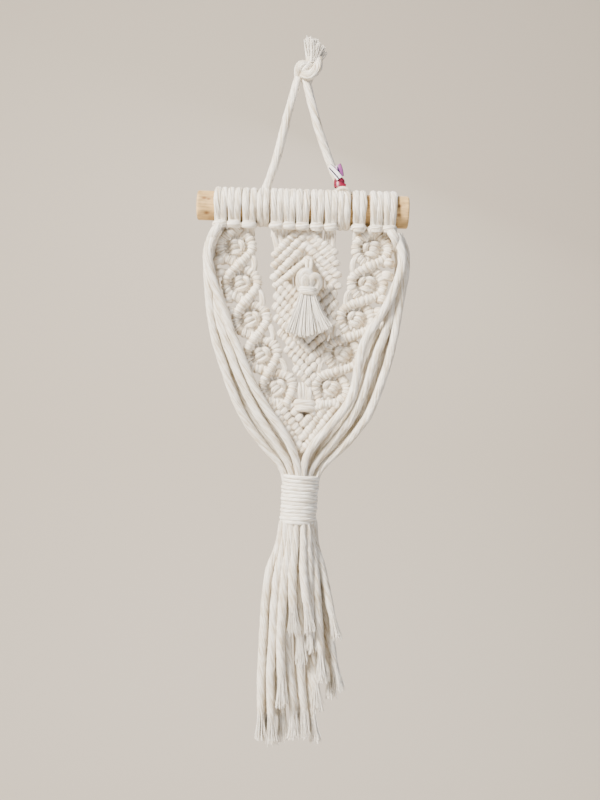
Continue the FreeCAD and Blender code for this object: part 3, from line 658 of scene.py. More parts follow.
# %% Hanger legs and swags
def free_cord(name, points):
    """One cord on its path. Both of its ends go into the object."""
    source = paths_mesh([points], girth=[squeezed(points)], seed=sum(ord(c) for c in name))
    cord = grow(
        name + "_cord", source, LAID_CORD, Width=CORD_DIAMETER / MM, Thickness=CORD_DIAMETER / MM,
        Ridge=0.3, Ridge_width=0.75, Lay=55.0, Material=CORD_COTTON,
    )
    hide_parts(name)
    return cord


for name, route in HANGER_LEGS.items():
    leg = free_cord(name, smooth_path(route))
    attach(leg, "hanger")

for name, route in SWAGS.items():
    points = smooth_path([*route, into_wrap(route[-1], WRAP_TOP - TUCK)])
    swag = free_cord(name, points)
    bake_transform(swag)

# %% [markdown]
# ## Fringe
# The ends were cut and combed out by hand. A cord stops being a cord over its last centimetre:
# its fibres part, spread and end at different lengths. The tree below sweeps the cord as before
# but stops it short, and sends many thin fibres on along the same path, spreading as they go.


# %% Loose fibres
def loose_fibres_group():
    """Curve in, a spray of thin fibres along it out. They part more and more towards the end."""
    tree, given, result = group_with("loose_fibres", [
        ("Fibres", "Int", 70), ("Fibre width", "Float", 0.34), ("Root width", "Float", 3.6),
        ("Spread", "Float", 0.9), ("Stray", "Float", 2.0), ("Shortest", "Float", 0.62),
        ("Seed", "Int", 1),
    ])
    many = add(tree, "GeometryNodeDuplicateElements", {
        "Geometry": given.outputs["Geometry"], "Amount": given.outputs["Fibres"],
    }, domain="SPLINE")
    marked = add(tree, "GeometryNodeStoreNamedAttribute", {
        "Geometry": many.outputs["Geometry"], "Name": "copy", "Value": many.outputs["Duplicate Index"],
    }, data_type="INT", domain="CURVE")
    copy = add(tree, "GeometryNodeInputNamedAttribute", {"Name": "copy"}, data_type="INT")
    owner = add(tree, "GeometryNodeInputNamedAttribute", {"Name": "strand"}, data_type="FLOAT")
    spaced_out = add(tree, "ShaderNodeMath", {
        0: owner.outputs[0], 1: 9973.0, 2: copy.outputs[0],
    }, operation="MULTIPLY_ADD")

    def chance(low, high, offset):
        """A random number for each fibre."""
        seed = add(tree, "ShaderNodeMath", {0: given.outputs["Seed"], 1: offset}, operation="ADD")
        return add(tree, "FunctionNodeRandomValue", {
            2: low, 3: high, "ID": spaced_out.outputs[0], "Seed": seed.outputs[0],
        }, data_type="FLOAT").outputs[1]

    short = add(tree, "GeometryNodeTrimCurve", {
        "Curve": marked.outputs[0], 2: 0.0, 3: chance(given.outputs["Shortest"], 1.0, 0),
    }, mode="FACTOR")
    sparse = add(tree, "GeometryNodeResampleCurve", {"Curve": short.outputs[0], "Count": 8}, mode="COUNT")
    factor = add(tree, "GeometryNodeSplineParameter")
    reach = add(tree, "ShaderNodeMath", {0: chance(0.02, 1.0, 2), 1: 0.5}, operation="POWER")
    flare = add(tree, "ShaderNodeMath", {
        0: factor.outputs["Factor"], 1: given.outputs["Spread"],
    }, operation="MULTIPLY")
    opened = add(tree, "ShaderNodeMath", {
        0: flare.outputs[0], 1: factor.outputs["Factor"], 2: 1.0,
    }, operation="MULTIPLY_ADD")
    half = add(tree, "ShaderNodeMath", {
        0: given.outputs["Root width"], 1: 0.5 * MM,
    }, operation="MULTIPLY")
    disc = add(tree, "ShaderNodeMath", {0: reach.outputs[0], 1: half.outputs[0]}, operation="MULTIPLY")
    away = add(tree, "ShaderNodeMath", {0: disc.outputs[0], 1: opened.outputs[0]}, operation="MULTIPLY")
    tangent = add(tree, "GeometryNodeInputTangent")
    side = add(tree, "ShaderNodeVectorMath", {
        0: tangent.outputs[0], 1: (0, 1, 0),
    }, operation="CROSS_PRODUCT")
    unit = add(tree, "ShaderNodeVectorMath", {0: side.outputs[0]}, operation="NORMALIZE")
    around = add(tree, "ShaderNodeVectorRotate", {
        "Vector": unit.outputs[0], "Axis": tangent.outputs[0], "Angle": chance(0.0, math.tau, 1),
    })
    offset = add(tree, "ShaderNodeVectorMath", {
        0: around.outputs[0], "Scale": away.outputs[0],
    }, operation="SCALE")
    place = add(tree, "GeometryNodeInputPosition")
    wander = add(tree, "ShaderNodeTexNoise", {
        "Vector": place.outputs[0], "W": chance(0.0, 60.0, 3), "Scale": 160.0, "Detail": 1.0,
    }, noise_dimensions="4D")
    centred = add(tree, "ShaderNodeVectorMath", {
        0: wander.outputs["Color"], 1: (0.5, 0.5, 0.5),
    }, operation="SUBTRACT")
    loose = add(tree, "ShaderNodeMath", {
        0: factor.outputs["Factor"], 1: given.outputs["Stray"],
    }, operation="MULTIPLY")
    strayed = add(tree, "ShaderNodeVectorMath", {
        0: centred.outputs[0], "Scale": loose.outputs[0],
    }, operation="SCALE")
    in_metres = add(tree, "ShaderNodeVectorMath", {0: strayed.outputs[0], "Scale": MM}, operation="SCALE")
    total = add(tree, "ShaderNodeVectorMath", {0: offset.outputs[0], 1: in_metres.outputs[0]})
    spread = add(tree, "GeometryNodeSetPosition", {
        "Geometry": sparse.outputs[0], "Offset": total.outputs[0],
    })
    own = add(tree, "GeometryNodeStoreNamedAttribute", {
        "Geometry": spread.outputs[0], "Name": "strand", "Value": chance(0.0, 1.0, 4),
    }, data_type="FLOAT", domain="POINT")
    thin = add(tree, "ShaderNodeMath", {
        0: given.outputs["Fibre width"], 1: 0.5 * MM,
    }, operation="MULTIPLY")
    section = add(tree, "GeometryNodeCurvePrimitiveCircle", {
        "Resolution": 3, "Radius": thin.outputs[0],
    })
    hair = add(tree, "GeometryNodeCurveToMesh", {
        "Curve": own.outputs[0], "Profile Curve": section.outputs["Curve"], "Fill Caps": True,
    })
    where = add(tree, "GeometryNodeInputPosition")
    millimetres = add(tree, "ShaderNodeVectorMath", {
        0: where.outputs[0], "Scale": 1 / MM,
    }, operation="SCALE")
    spaced = add(tree, "GeometryNodeStoreNamedAttribute", {
        "Geometry": hair.outputs[0], "Name": "fibre", "Value": millimetres.outputs[0],
    }, data_type="FLOAT_VECTOR", domain="POINT")
    tree.links.new(spaced.outputs[0], result.inputs[0])
    return tree


LOOSE_FIBRES = loose_fibres_group()
FIBRE_CHOICES = ("Fibres", "Fibre width", "Root width", "Spread", "Stray", "Shortest", "Seed")


def frayed_tree():
    """A cord that turns into loose fibres over its last stretch."""
    tree, given, result = group_with("frayed_cord", [
        ("Step", "Float", 0.0009), ("Width", "Float", 4.2), ("Fray", "Float", 0.011),
        ("Fibres", "Int", 70), ("Fibre width", "Float", 0.36), ("Root width", "Float", 3.7),
        ("Spread", "Float", 0.85), ("Stray", "Float", 1.8), ("Shortest", "Float", 0.75),
        ("Seed", "Int", 1), ("Cord material", "Material", None), ("Fibre material", "Material", None),
    ])
    curve = faced_curve(tree, given.outputs["Geometry"], given.outputs["Step"])
    whole = add(tree, "GeometryNodeSplineLength")
    rest = add(tree, "ShaderNodeMath", {
        0: whole.outputs["Length"], 1: given.outputs["Fray"],
    }, operation="SUBTRACT")
    body = add(tree, "GeometryNodeTrimCurve", {
        "Curve": curve, 4: 0.0, 5: rest.outputs[0],
    }, mode="LENGTH")
    here = add(tree, "GeometryNodeSplineParameter")
    left = add(tree, "ShaderNodeMath", {
        0: whole.outputs["Length"], 1: here.outputs["Length"],
    }, operation="SUBTRACT")
    taper = add(tree, "ShaderNodeMapRange", {
        "Value": left.outputs[0], "From Min": 0.0, "From Max": 0.006, "To Min": 0.6, "To Max": 1.0,
    })
    girth = add(tree, "GeometryNodeInputNamedAttribute", {"Name": "girth"}, data_type="FLOAT")
    narrowed = add(tree, "ShaderNodeMath", {
        0: girth.outputs[0], 1: taper.outputs[0],
    }, operation="MULTIPLY")
    tapered = add(tree, "GeometryNodeStoreNamedAttribute", {
        "Geometry": body.outputs[0], "Name": "girth", "Value": narrowed.outputs[0],
    }, data_type="FLOAT", domain="POINT")
    strand = add(tree, "GeometryNodeGroup", node_tree=SPUN_STRAND, inputs={
        "Geometry": tapered.outputs[0], "Width": given.outputs["Width"],
        "Thickness": given.outputs["Width"], "Ridge": 0.32, "Ridge width": 0.7, "Lay": 45.0,
        "Sides": 28,
    })
    painted = add(tree, "GeometryNodeSetMaterial", {
        "Geometry": strand.outputs[0], "Material": given.outputs["Cord material"],
    })
    early = add(tree, "ShaderNodeMath", {0: rest.outputs[0], 1: 0.004}, operation="SUBTRACT")
    tail = add(tree, "GeometryNodeTrimCurve", {
        "Curve": curve, 4: early.outputs[0], 5: 10.0,
    }, mode="LENGTH")
    fibres = add(tree, "GeometryNodeGroup", node_tree=LOOSE_FIBRES, inputs={
        "Geometry": tail.outputs[0], **{label: given.outputs[label] for label in FIBRE_CHOICES},
    })
    combed = add(tree, "GeometryNodeSetMaterial", {
        "Geometry": fibres.outputs[0], "Material": given.outputs["Fibre material"],
    })
    joined = add(tree, "GeometryNodeJoinGeometry")
    tree.links.new(combed.outputs[0], joined.inputs[0])
    tree.links.new(painted.outputs[0], joined.inputs[0])
    real = add(tree, "GeometryNodeRealizeInstances", {"Geometry": joined.outputs[0]})
    smooth = add(tree, "GeometryNodeSetShadeSmooth", {"Geometry": real.outputs[0]})
    tree.links.new(smooth.outputs[0], result.inputs[0])
    return tree


def lock_tree():
    """Only the loose fibres: a lock of combed cotton along each path."""
    tree, given, result = group_with("combed_lock", [
        ("Fibres", "Int", 18), ("Fibre width", "Float", 0.42), ("Root width", "Float", 1.6),
        ("Spread", "Float", 1.2), ("Stray", "Float", 1.6), ("Shortest", "Float", 0.8),
        ("Seed", "Int", 1), ("Material", "Material", None),
    ])
    curve = faced_curve(tree, given.outputs["Geometry"], 1 * MM)
    fibres = add(tree, "GeometryNodeGroup", node_tree=LOOSE_FIBRES, inputs={
        "Geometry": curve, **{label: given.outputs[label] for label in FIBRE_CHOICES},
    })
    real = add(tree, "GeometryNodeRealizeInstances", {"Geometry": fibres.outputs[0]})
    smooth = add(tree, "GeometryNodeSetShadeSmooth", {"Geometry": real.outputs[0]})
    painted = add(tree, "GeometryNodeSetMaterial", {
        "Geometry": smooth.outputs[0], "Material": given.outputs["Material"],
    })
    tree.links.new(painted.outputs[0], result.inputs[0])
    return tree


COMBED_LOCK = lock_tree()
FRAYED_CORD = frayed_tree()
for number, (name, route) in enumerate(FRINGE.items(), start=1):
    points = smooth_path([into_wrap(route[0], WRAP_FOOT + TUCK), *route])
    source = paths_mesh([points], girth=[squeezed(points)], seed=number)
    cord = grow(
        name + "_cord", source, FRAYED_CORD, Width=CORD_DIAMETER / MM, Seed=number * 10,
        Cord_material=CORD_COTTON, Fibre_material=COMBED_COTTON,
    )
    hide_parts(name)
    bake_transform(cord)

# %% [markdown]
# ## Knotwork
# Most of the hanging is double half hitches: a row is a core cord, with a loop round it for each
# cord that crosses it. So a row is one loop, repeated along a path, each copy a little different.
# The same tree lays plain cords, for square knots, bars and loops, so that one object holds a
# whole motif.


# %% The knotwork tree
HITCH_LEANS = (1.0, -0.3)


def hitch_loop(tree, given, share_of_slant):
    """One loop of a hitched row, closed, round the origin. Its seam is at the back."""
    circle = add(tree, "GeometryNodeCurvePrimitiveCircle", {"Resolution": 14, "Radius": 1.0})
    place = add(tree, "GeometryNodeInputPosition")
    depth = add(tree, "ShaderNodeMath", {
        0: given.outputs["Row depth"], 1: given.outputs["Thickness"],
    }, operation="SUBTRACT")
    width = add(tree, "ShaderNodeMath", {
        0: given.outputs["Row width"], 1: given.outputs["Thickness"],
    }, operation="SUBTRACT")
    axes = add(tree, "ShaderNodeSeparateXYZ", {0: place.outputs[0]})
    lean = add(tree, "ShaderNodeMath", {
        0: axes.outputs["Y"], 1: given.outputs["Slant"],
    }, operation="MULTIPLY")
    signed = add(tree, "ShaderNodeMath", {0: lean.outputs[0], 1: share_of_slant}, operation="MULTIPLY")
    leant = add(tree, "ShaderNodeCombineXYZ", {
        "X": axes.outputs["X"], "Y": axes.outputs["Y"], "Z": signed.outputs[0],
    })
    turned = add(tree, "GeometryNodeSetCurveNormal", {
        "Curve": circle.outputs["Curve"], "Normal": place.outputs[0],
    }, mode="FREE")
    halves = add(tree, "ShaderNodeCombineXYZ", {
        "X": depth.outputs[0], "Y": width.outputs[0], "Z": width.outputs[0],
    })
    sized = add(tree, "ShaderNodeVectorMath", {
        0: leant.outputs[0], 1: halves.outputs[0],
    }, operation="MULTIPLY")
    metres = add(tree, "ShaderNodeVectorMath", {0: sized.outputs[0], "Scale": 0.5 * MM}, operation="SCALE")
    oval = add(tree, "GeometryNodeSetPosition", {
        "Geometry": turned.outputs[0], "Position": metres.outputs[0],
    })
    strand = add(tree, "GeometryNodeGroup", node_tree=SPUN_STRAND, inputs={
        "Geometry": oval.outputs[0], "Width": given.outputs["Hitch width"],
        "Thickness": given.outputs["Thickness"], "Sides": 10, "Ridge": 0.12, "Ridge width": 0.6,
        "Lay": 60.0,
    })
    back = add(tree, "GeometryNodeTransform", {
        "Geometry": strand.outputs[0], "Rotation": (0, 0, math.pi),
    })
    return add(tree, "GeometryNodeGeometryToInstance", {0: back.outputs[0]}).outputs[0]


def knotwork_tree():
    """Plain cords and rows of hitches from one set of paths."""
    tree, given, result = group_with("knotwork", [
        ("Width", "Float", 3.3), ("Thickness", "Float", 2.4), ("Sides", "Int", 14),
        ("Ridge", "Float", 0.2), ("Lay", "Float", 60.0), ("Pitch", "Float", 2.5),
        ("Hitch width", "Float", 3.6), ("Row width", "Float", 4.2), ("Row depth", "Float", 4.8),
        ("Slant", "Float", 0.6), ("Seed", "Int", 1), ("Material", "Material", None),
    ])
    row = add(tree, "GeometryNodeInputNamedAttribute", {"Name": "row"}, data_type="FLOAT")
    is_row = add(tree, "FunctionNodeCompare", {0: row.outputs[0], 1: 0.5}, operation="GREATER_THAN")
    is_cord = add(tree, "FunctionNodeCompare", {0: row.outputs[0], 1: 0.5}, operation="LESS_EQUAL")
    cord = faced_curve(tree, given.outputs["Geometry"], 0.8 * MM, is_cord.outputs[0])
    plain = add(tree, "GeometryNodeGroup", node_tree=SPUN_STRAND, inputs={
        "Geometry": cord, "Ridge width": 0.8,
        **{label: given.outputs[label] for label in ("Width", "Thickness", "Sides", "Ridge", "Lay")},
    })
    pitch = add(tree, "ShaderNodeMath", {0: given.outputs["Pitch"], 1: MM}, operation="MULTIPLY")
    line = faced_curve(tree, given.outputs["Geometry"], pitch.outputs[0], is_row.outputs[0])
    core_width = add(tree, "ShaderNodeMath", {0: given.outputs["Row width"], 1: 0.6}, operation="MULTIPLY")
    core = add(tree, "GeometryNodeGroup", node_tree=SPUN_STRAND, inputs={
        "Geometry": line, "Width": core_width.outputs[0], "Thickness": core_width.outputs[0],
        "Sides": 8, "Ridge": 0.0,
    })
    spots = add(tree, "GeometryNodeCurveToPoints", {"Curve": line}, mode="EVALUATED")
    frame_of = add(tree, "FunctionNodeAxesToRotation", {
        0: spots.outputs["Tangent"], 1: spots.outputs["Normal"],
    }, primary_axis="Z", secondary_axis="X")
    seed = given.outputs["Seed"]
    tilt = add(tree, "FunctionNodeRandomValue", {
        0: (-0.06, -0.10, -0.08), 1: (0.06, 0.10, 0.08), "Seed": seed,
    }, data_type="FLOAT_VECTOR")
    tilted = add(tree, "FunctionNodeRotateRotation", {
        0: frame_of.outputs[0], 1: tilt.outputs[0],
    }, rotation_space="LOCAL")
    size = add(tree, "FunctionNodeRandomValue", {2: 0.94, 3: 1.07, "Seed": seed}, data_type="FLOAT")
    loops = add(tree, "GeometryNodeJoinGeometry")
    for share in HITCH_LEANS:
        tree.links.new(hitch_loop(tree, given, share), loops.inputs[0])
    lean = add(tree, "GeometryNodeInputNamedAttribute", {"Name": "lean"}, data_type="FLOAT")
    hitches = add(tree, "GeometryNodeInstanceOnPoints", {
        "Points": spots.outputs["Points"], "Instance": loops.outputs[0], "Pick Instance": True,
        "Instance Index": lean.outputs[0], "Rotation": tilted.outputs[0], "Scale": size.outputs[1],
    })
    own = add(tree, "FunctionNodeRandomValue", {2: 0.0, 3: 1.0, "Seed": seed}, data_type="FLOAT")
    numbered = add(tree, "GeometryNodeStoreNamedAttribute", {
        "Geometry": hitches.outputs[0], "Name": "strand", "Value": own.outputs[1],
    }, data_type="FLOAT", domain="INSTANCE")
    joined = add(tree, "GeometryNodeJoinGeometry")
    for part in (plain.outputs[0], core.outputs[0], numbered.outputs[0]):
        tree.links.new(part, joined.inputs[0])
    real = add(tree, "GeometryNodeRealizeInstances", {"Geometry": joined.outputs[0]})
    painted = add(tree, "GeometryNodeSetMaterial", {
        "Geometry": real.outputs[0], "Material": given.outputs["Material"],
    })
    tree.links.new(painted.outputs[0], result.inputs[0])
    return tree


KNOTWORK = knotwork_tree()


def knot(name, body, slot, nodes, cords=(), rows=(), outward=None, girth=None, lean=(), **inputs):
    """One piece of knotwork. Routes are in millimetres, and the cords come before the rows."""
    paths = in_millimetres((*cords, *rows))
    facing = [[outward(p) for p in path] for path in paths] if outward else None
    count = len(cords)
    seed = sum(ord(c) for c in name)
    if girth:
        girth = [g(path) if callable(g) else [g] * len(path) for g, path in zip(girth, paths)]
    source = paths_mesh(
        paths, outward=facing, girth=girth, seed=seed,
        rows=range(count, len(paths)), lean=[count + i for i in lean],
    )
    made = grow(name, source, KNOTWORK, **{"Material": KNOT_COTTON, "Seed": seed, **inputs})
    return placed(made, body, nodes)


def placed(made, body, nodes):
    """Puts a piece on the body it rides on, and hides the CAD solids it stands for."""
    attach(made, body)
    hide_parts(*nodes)
    return made


# %% [markdown]
# ## The dowel
# The dowel is a peeled twig: a little thicker at the right, sawn square, its rims sanded soft.
# Where side shoots grew there are small dark eyes in the grain.


# %% The stick
dowel_low, dowel_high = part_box("dowel")
AXIS_Z = (dowel_low.z + dowel_high.z) / 2 / MM
LEFT_END, RIGHT_END = dowel_low.x / MM, dowel_high.x / MM
LEFT_RADIUS, RIGHT_RADIUS = 7.25, 8.0
TAPER_START, TAPER_END = -41.5, 49.3
RIM = 0.9
RIM_STEPS = 6
STICK_SIDES = 72
STICK_STATIONS = 150
EYES = [
    (-45.6, 23, 1.5), (-43.6, 18, 1.2), (-44.4, -40, 1.7),
    (50.5, 12, 1.4), (50.4, -21, 1.4), (47.6, -52, 1.0),
]


def dowel_radius(x):
    """Radius of the stick at x, in millimetres."""
    share = min(max((x - TAPER_START) / (TAPER_END - TAPER_START), 0.0), 1.0)
    return LEFT_RADIUS + (RIGHT_RADIUS - LEFT_RADIUS) * share


def eye_nearness(x, angle):
    """One at the middle of an eye, falling off smoothly. An eye is a place, an angle and a size."""
    found = []
    for eye_x, eye_angle, size in EYES:
        apart = (math.degrees(angle) - eye_angle + 180) % 360 - 180
        found.append(math.exp(-((x - eye_x) ** 2 / size**2 + apart**2 / (size * 5) ** 2)))
    return max(found)


def rounded_rim(end, radius, inward):
    """Stations round a sanded rim, in order along the stick."""
    stations = []
    for i in range(RIM_STEPS + 1):
        turn = math.pi / 2 * i / RIM_STEPS
        stations.append((end + inward * RIM * (1 - math.sin(turn)), radius - RIM * (1 - math.cos(turn))))
    return sorted(stations)


def dowel_mesh():
    """Rings of points along the stick, closed at both ends, with grain and eyes as attributes."""
    sides, stations = STICK_SIDES, STICK_STATIONS
    rng = random.Random(4)
    waves = [(rng.uniform(0.02, 0.12), rng.uniform(0, math.tau), n) for n in (2, 3, 5)]
    profile = []
    for inner in (0.02, 0.35, 0.7):
        profile.append((LEFT_END, (LEFT_RADIUS - RIM) * inner))
    profile += rounded_rim(LEFT_END, LEFT_RADIUS, 1)
    for i in range(1, stations):
        x = LEFT_END + RIM + (RIGHT_END - LEFT_END - 2 * RIM) * i / stations
        profile.append((x, dowel_radius(x)))
    profile += rounded_rim(RIGHT_END, RIGHT_RADIUS, -1)
    for inner in (0.7, 0.35, 0.02):
        profile.append((RIGHT_END, (RIGHT_RADIUS - RIM) * inner))
    points, grain, eye = [], [], []
    for x, radius in profile:
        for side in range(sides):
            angle = math.tau * side / sides
            out = sum(size * math.sin(n * angle + phase + x * 0.03 * n) for size, phase, n in waves)
            near = eye_nearness(x, angle)
            reach = radius + min(out, 0.1) * radius / LEFT_RADIUS - 0.35 * near * (radius > LEFT_RADIUS - 0.1)
            points.append((x * MM, -reach * math.cos(angle) * MM, (AXIS_Z + reach * math.sin(angle)) * MM))
            grain += [x, radius * math.cos(angle), radius * math.sin(angle)]
            eye.append(near)
    faces = []
    for ring in range(len(profile) - 1):
        for side in range(sides):
            a, b = ring * sides + side, ring * sides + (side + 1) % sides
            faces.append((a, a + sides, b + sides, b))
    faces.append(tuple(range(sides)))
    faces.append(tuple(reversed(range(len(points) - sides, len(points)))))
    mesh = bpy.data.meshes.new("dowel_stick")
    mesh.from_pydata(points, [], faces)
    mesh.attributes.new("grain", "FLOAT_VECTOR", "POINT").data.foreach_set("vector", grain)
    mesh.attributes.new("eye", "FLOAT", "POINT").data.foreach_set("value", eye)
    mesh.shade_smooth()
    return mesh


def peeled_wood():
    """Pale sapwood: brown streaks along the grain, and dark eyes."""
    material, tree, shader = new_material("peeled_birch", Roughness=0.62, Specular_IOR_Level=0.3)
    space = add(tree, "ShaderNodeAttribute", attribute_name="grain")
    eye = add(tree, "ShaderNodeAttribute", attribute_name="eye")
    drawn = add(tree, "ShaderNodeMapping", {"Vector": space.outputs["Vector"], "Scale": (0.1, 1, 1)})
    streaks = add(tree, "ShaderNodeTexNoise", {
        "Vector": drawn.outputs[0], "Scale": 1.3, "Detail": 6.0, "Roughness": 0.65, "Distortion": 0.4,
    })
    patches = add(tree, "ShaderNodeTexNoise", {
        "Vector": space.outputs["Vector"], "Scale": 0.12, "Detail": 2.0,
    })
    blend = add(tree, "ShaderNodeMath", {
        0: streaks.outputs["Fac"], 1: patches.outputs["Fac"],
    }, operation="ADD")
    tone = add(tree, "ShaderNodeMapRange", {
        "Value": blend.outputs[0], "From Min": 0.75, "From Max": 1.3, "To Min": 0.0, "To Max": 1.0,
    })
    wood = add(tree, "ShaderNodeMix", {
        0: tone.outputs[0], 6: linear("#92754A"), 7: linear("#E4BF82"),
    }, data_type="RGBA")
    dark = add(tree, "ShaderNodeMath", {
        0: eye.outputs["Fac"], 1: streaks.outputs["Fac"],
    }, operation="MULTIPLY")
    strength = add(tree, "ShaderNodeMapRange", {
        "Value": dark.outputs[0], "From Min": 0.12, "From Max": 0.5, "To Min": 0.0, "To Max": 1.0,
    })
    eyed = add(tree, "ShaderNodeMix", {
        0: strength.outputs[0], 6: wood.outputs[2], 7: linear("#6B4322"),
    }, data_type="RGBA")
    tree.links.new(eyed.outputs[2], shader.inputs["Base Color"])
    bump = add(tree, "ShaderNodeBump", {
        "Height": streaks.outputs["Fac"], "Strength": 0.35, "Distance": 0.15 * MM,
    })
    tree.links.new(bump.outputs[0], shader.inputs["Normal"])
    return material


stick = new_object("dowel_stick", dowel_mesh())
stick.data.materials.append(peeled_wood())
placed(stick, "panel", ["dowel"])
print("dowel:", round(RIGHT_END - LEFT_END, 1), "mm long")

# %% [markdown]
# ## Mounting knots
# Each doubled cord hangs on the dowel by a lark's head. Seen from the front it is two turns over
# the dowel and a short bar below, under which both tails come out. The route of one is really
# threaded: tail, up behind the bar, over, round the back, and forward under the dowel to the bar.

# %% Lark's heads and hitches
TURN_WIDTH, TURN_THICKNESS = 3.5, 2.3
BAR_Y, BAR_Z = -8.0, -10.0
BELOW = 8.6


def around(x, angle, reach):
    """A point round the dowel. The angle is measured from the front, up and over the top."""
    turn = math.radians(angle)
    return (x, -reach * math.cos(turn), AXIS_Z + reach * math.sin(turn))


def from_dowel(point):
    """Straight away from the dowel's axis, but to the room for what hangs below the dowel."""
    if point.z < (AXIS_Z - BELOW) * MM:
        return TO_ROOM
    return Vector((0, point.y, point.z - AXIS_Z * MM)).normalized()


def larks_head(left, right):
    """The whole route of one lark's head, tail to tail."""
    middle = (left + right) / 2
    reach = dowel_radius(middle) + TURN_THICKNESS / 2 - 0.1
    halves = []
    for x, out in ((left, -1), (right, 1)):
        half = [(x - 0.5 * out, -1.4, AXIS_Z - 14.6), (x - 0.7 * out, -3.6, AXIS_Z - 12.2)]
        half += [around(x - 0.35 * out, angle, reach + 0.2) for angle in (-46, -24)]
        half += [around(x, angle, reach + 0.2) for angle in (0, 22, 44, 66, 88, 110)]
        half += [around(x + 0.3 * out, angle, reach) for angle in (135, 160, 185, 210, 235)]
        half += [
            (x + 0.4 * out, 0.6, AXIS_Z - reach - 0.4), (x + 0.7 * out, -4.6, AXIS_Z - reach - 1.2),
            (x + 0.5 * out, -7.8, AXIS_Z + BAR_Z + 0.2),
        ]
        halves.append(half)
    return [*halves[0], (middle, BAR_Y - 0.5, AXIS_Z + BAR_Z - 0.2), *reversed(halves[1])]


def bar_girth(path):
    """A lark's head swells at its bar, where nothing presses the cord flat."""
    return [1.15 if p.z < (AXIS_Z - BELOW) * MM and p.y < -6 * MM else 1.0 for p in path]


LARKS_HEADS = {
    "larks_heads_left": [(-39.2, -35.8), (-32.5, -29.0), (-25.2, -21.4)],
    "larks_heads_centre": [(-11.3, -8.0), (-5.0, -1.9), (1.3, 4.8), (8.6, 11.9), (15.4, 18.7)],
    "larks_heads_right": [(29.3, 32.6), (37.9, 41.2), (44.4, 47.7)],
}
for node, pairs in LARKS_HEADS.items():
    heads = [larks_head(left, right) for left, right in pairs]
    girth = [bar_girth] * len(heads)
    if node != "larks_heads_centre":
        side = -1 if node == "larks_heads_left" else 1
        middle = -37.5 if side < 0 else 46.0
        heads.append([
            (middle, -6.4, -75.4), (middle + side * 0.6, -9.6, -77.6), (middle + side * 2.6, -10.4, -80.6),
            (middle + side * 4.0, -8.6, -83.6), (middle + side * 4.2, -5.0, -85.0),
        ])
        girth.append(1.15)
    knot(
        node + "_knots", "panel", "cotton_cord", [node], cords=heads, outward=from_dowel,
        girth=girth, Width=TURN_WIDTH, Thickness=TURN_THICKNESS,
        Material=CORD_COTTON, Ridge=0.26, Sides=24, Lay=60.0,
    )

HITCH_TURNS = {"hanger_left_hitch": (-18.0, -15.1), "hanger_right_hitch": (24.9, 21.9)}
LEG_FEET = {"hanger_left_hitch": (-15.7, 0.0, -56.6), "hanger_right_hitch": (22.9, 0.0, -56.7)}


def hitch_route(first, second, foot):
    """Down the front at the first turn, round, over to the second turn, round, and tucked in."""
    reach = dowel_radius(first) + TURN_THICKNESS / 2 + 0.15
    route = [foot, ((foot[0] + first) / 2, -3.0, foot[2] - 0.9)]
    route += [around(first, angle, reach + 0.2) for angle in (46, 24, 0, -24, -48)]
    route += [around(first, angle, reach) for angle in (-72, -96, -120, -145, -170, -195, -220, -242)]
    route.append(around((first + second) / 2, -265, reach + 0.5))
    route += [around(second, angle, reach + 0.1) for angle in (-290, -314, -338, -362, -386, -410)]
    route += [around(second, angle, reach) for angle in (-434, -458, -482, -506, -530, -554, -578, -600)]
    return route


for node, (first, second) in HITCH_TURNS.items():
    cords = [hitch_route(first, second, LEG_FEET[node])]
    if node == "hanger_right_hitch":
        cords.append([
            (19.4, 0.6, -59.6), (19.6, -2.2, -57.2), (21.0, -3.8, -55.8), (23.6, -4.2, -55.7),
            (26.0, -3.2, -57.3), (27.0, -0.4, -59.8),
        ])
    knot(
        node + "_turns", "hanger", "cotton_cord", [node], cords=cords, outward=from_dowel,
        Width=3.3, Thickness=TURN_THICKNESS, Material=CORD_COTTON, Ridge=0.26, Sides=24, Lay=60.0,
    )

# %% [markdown]
# ## Top of the hanger
# The two legs are tied together in one overhand knot, and what is left above it is combed out
# into a tuft. A scrap of patterned ribbon, kept plain here, is tied round the right leg.

# %% Knot and tuft
knot(
    "hanger_knot_turns", "hanger", "cotton_cord", ["hanger_knot"],
    cords=[
        [(-0.8, 1.0, -2.0), (-1.5, -1.0, 1.4), (-1.2, -2.6, 3.9), (0.8, -2.8, 5.6), (3.4, -1.0, 4.6)],
        [(0.6, 0.4, 0.2), (0.4, -2.0, 2.2), (1.8, -2.9, 3.2), (3.2, -2.4, 4.4), (4.4, -0.8, 6.8)],
        [
            (0.6, 0.6, 1.8), (1.2, -2.8, 0.6), (3.8, -3.8, -0.6), (6.8, -3.4, 1.8), (8.4, -2.0, 5.2),
            (7.8, -0.8, 9.6),
        ],
        [(2.8, 1.0, -2.6), (4.4, 2.0, 1.0), (4.8, 1.8, 4.6), (5.6, 0.8, 9.6)],
        [(3.0, 0.8, 4.0), (3.8, -1.2, 6.4), (4.4, -1.0, 9.6)],
    ],
    girth=[1.0, 0.9, 1.0, 0.95, 0.9], Width=4.8, Thickness=3.8, Material=CORD_COTTON, Ridge=0.3,
    Sides=28, Lay=60.0,
)
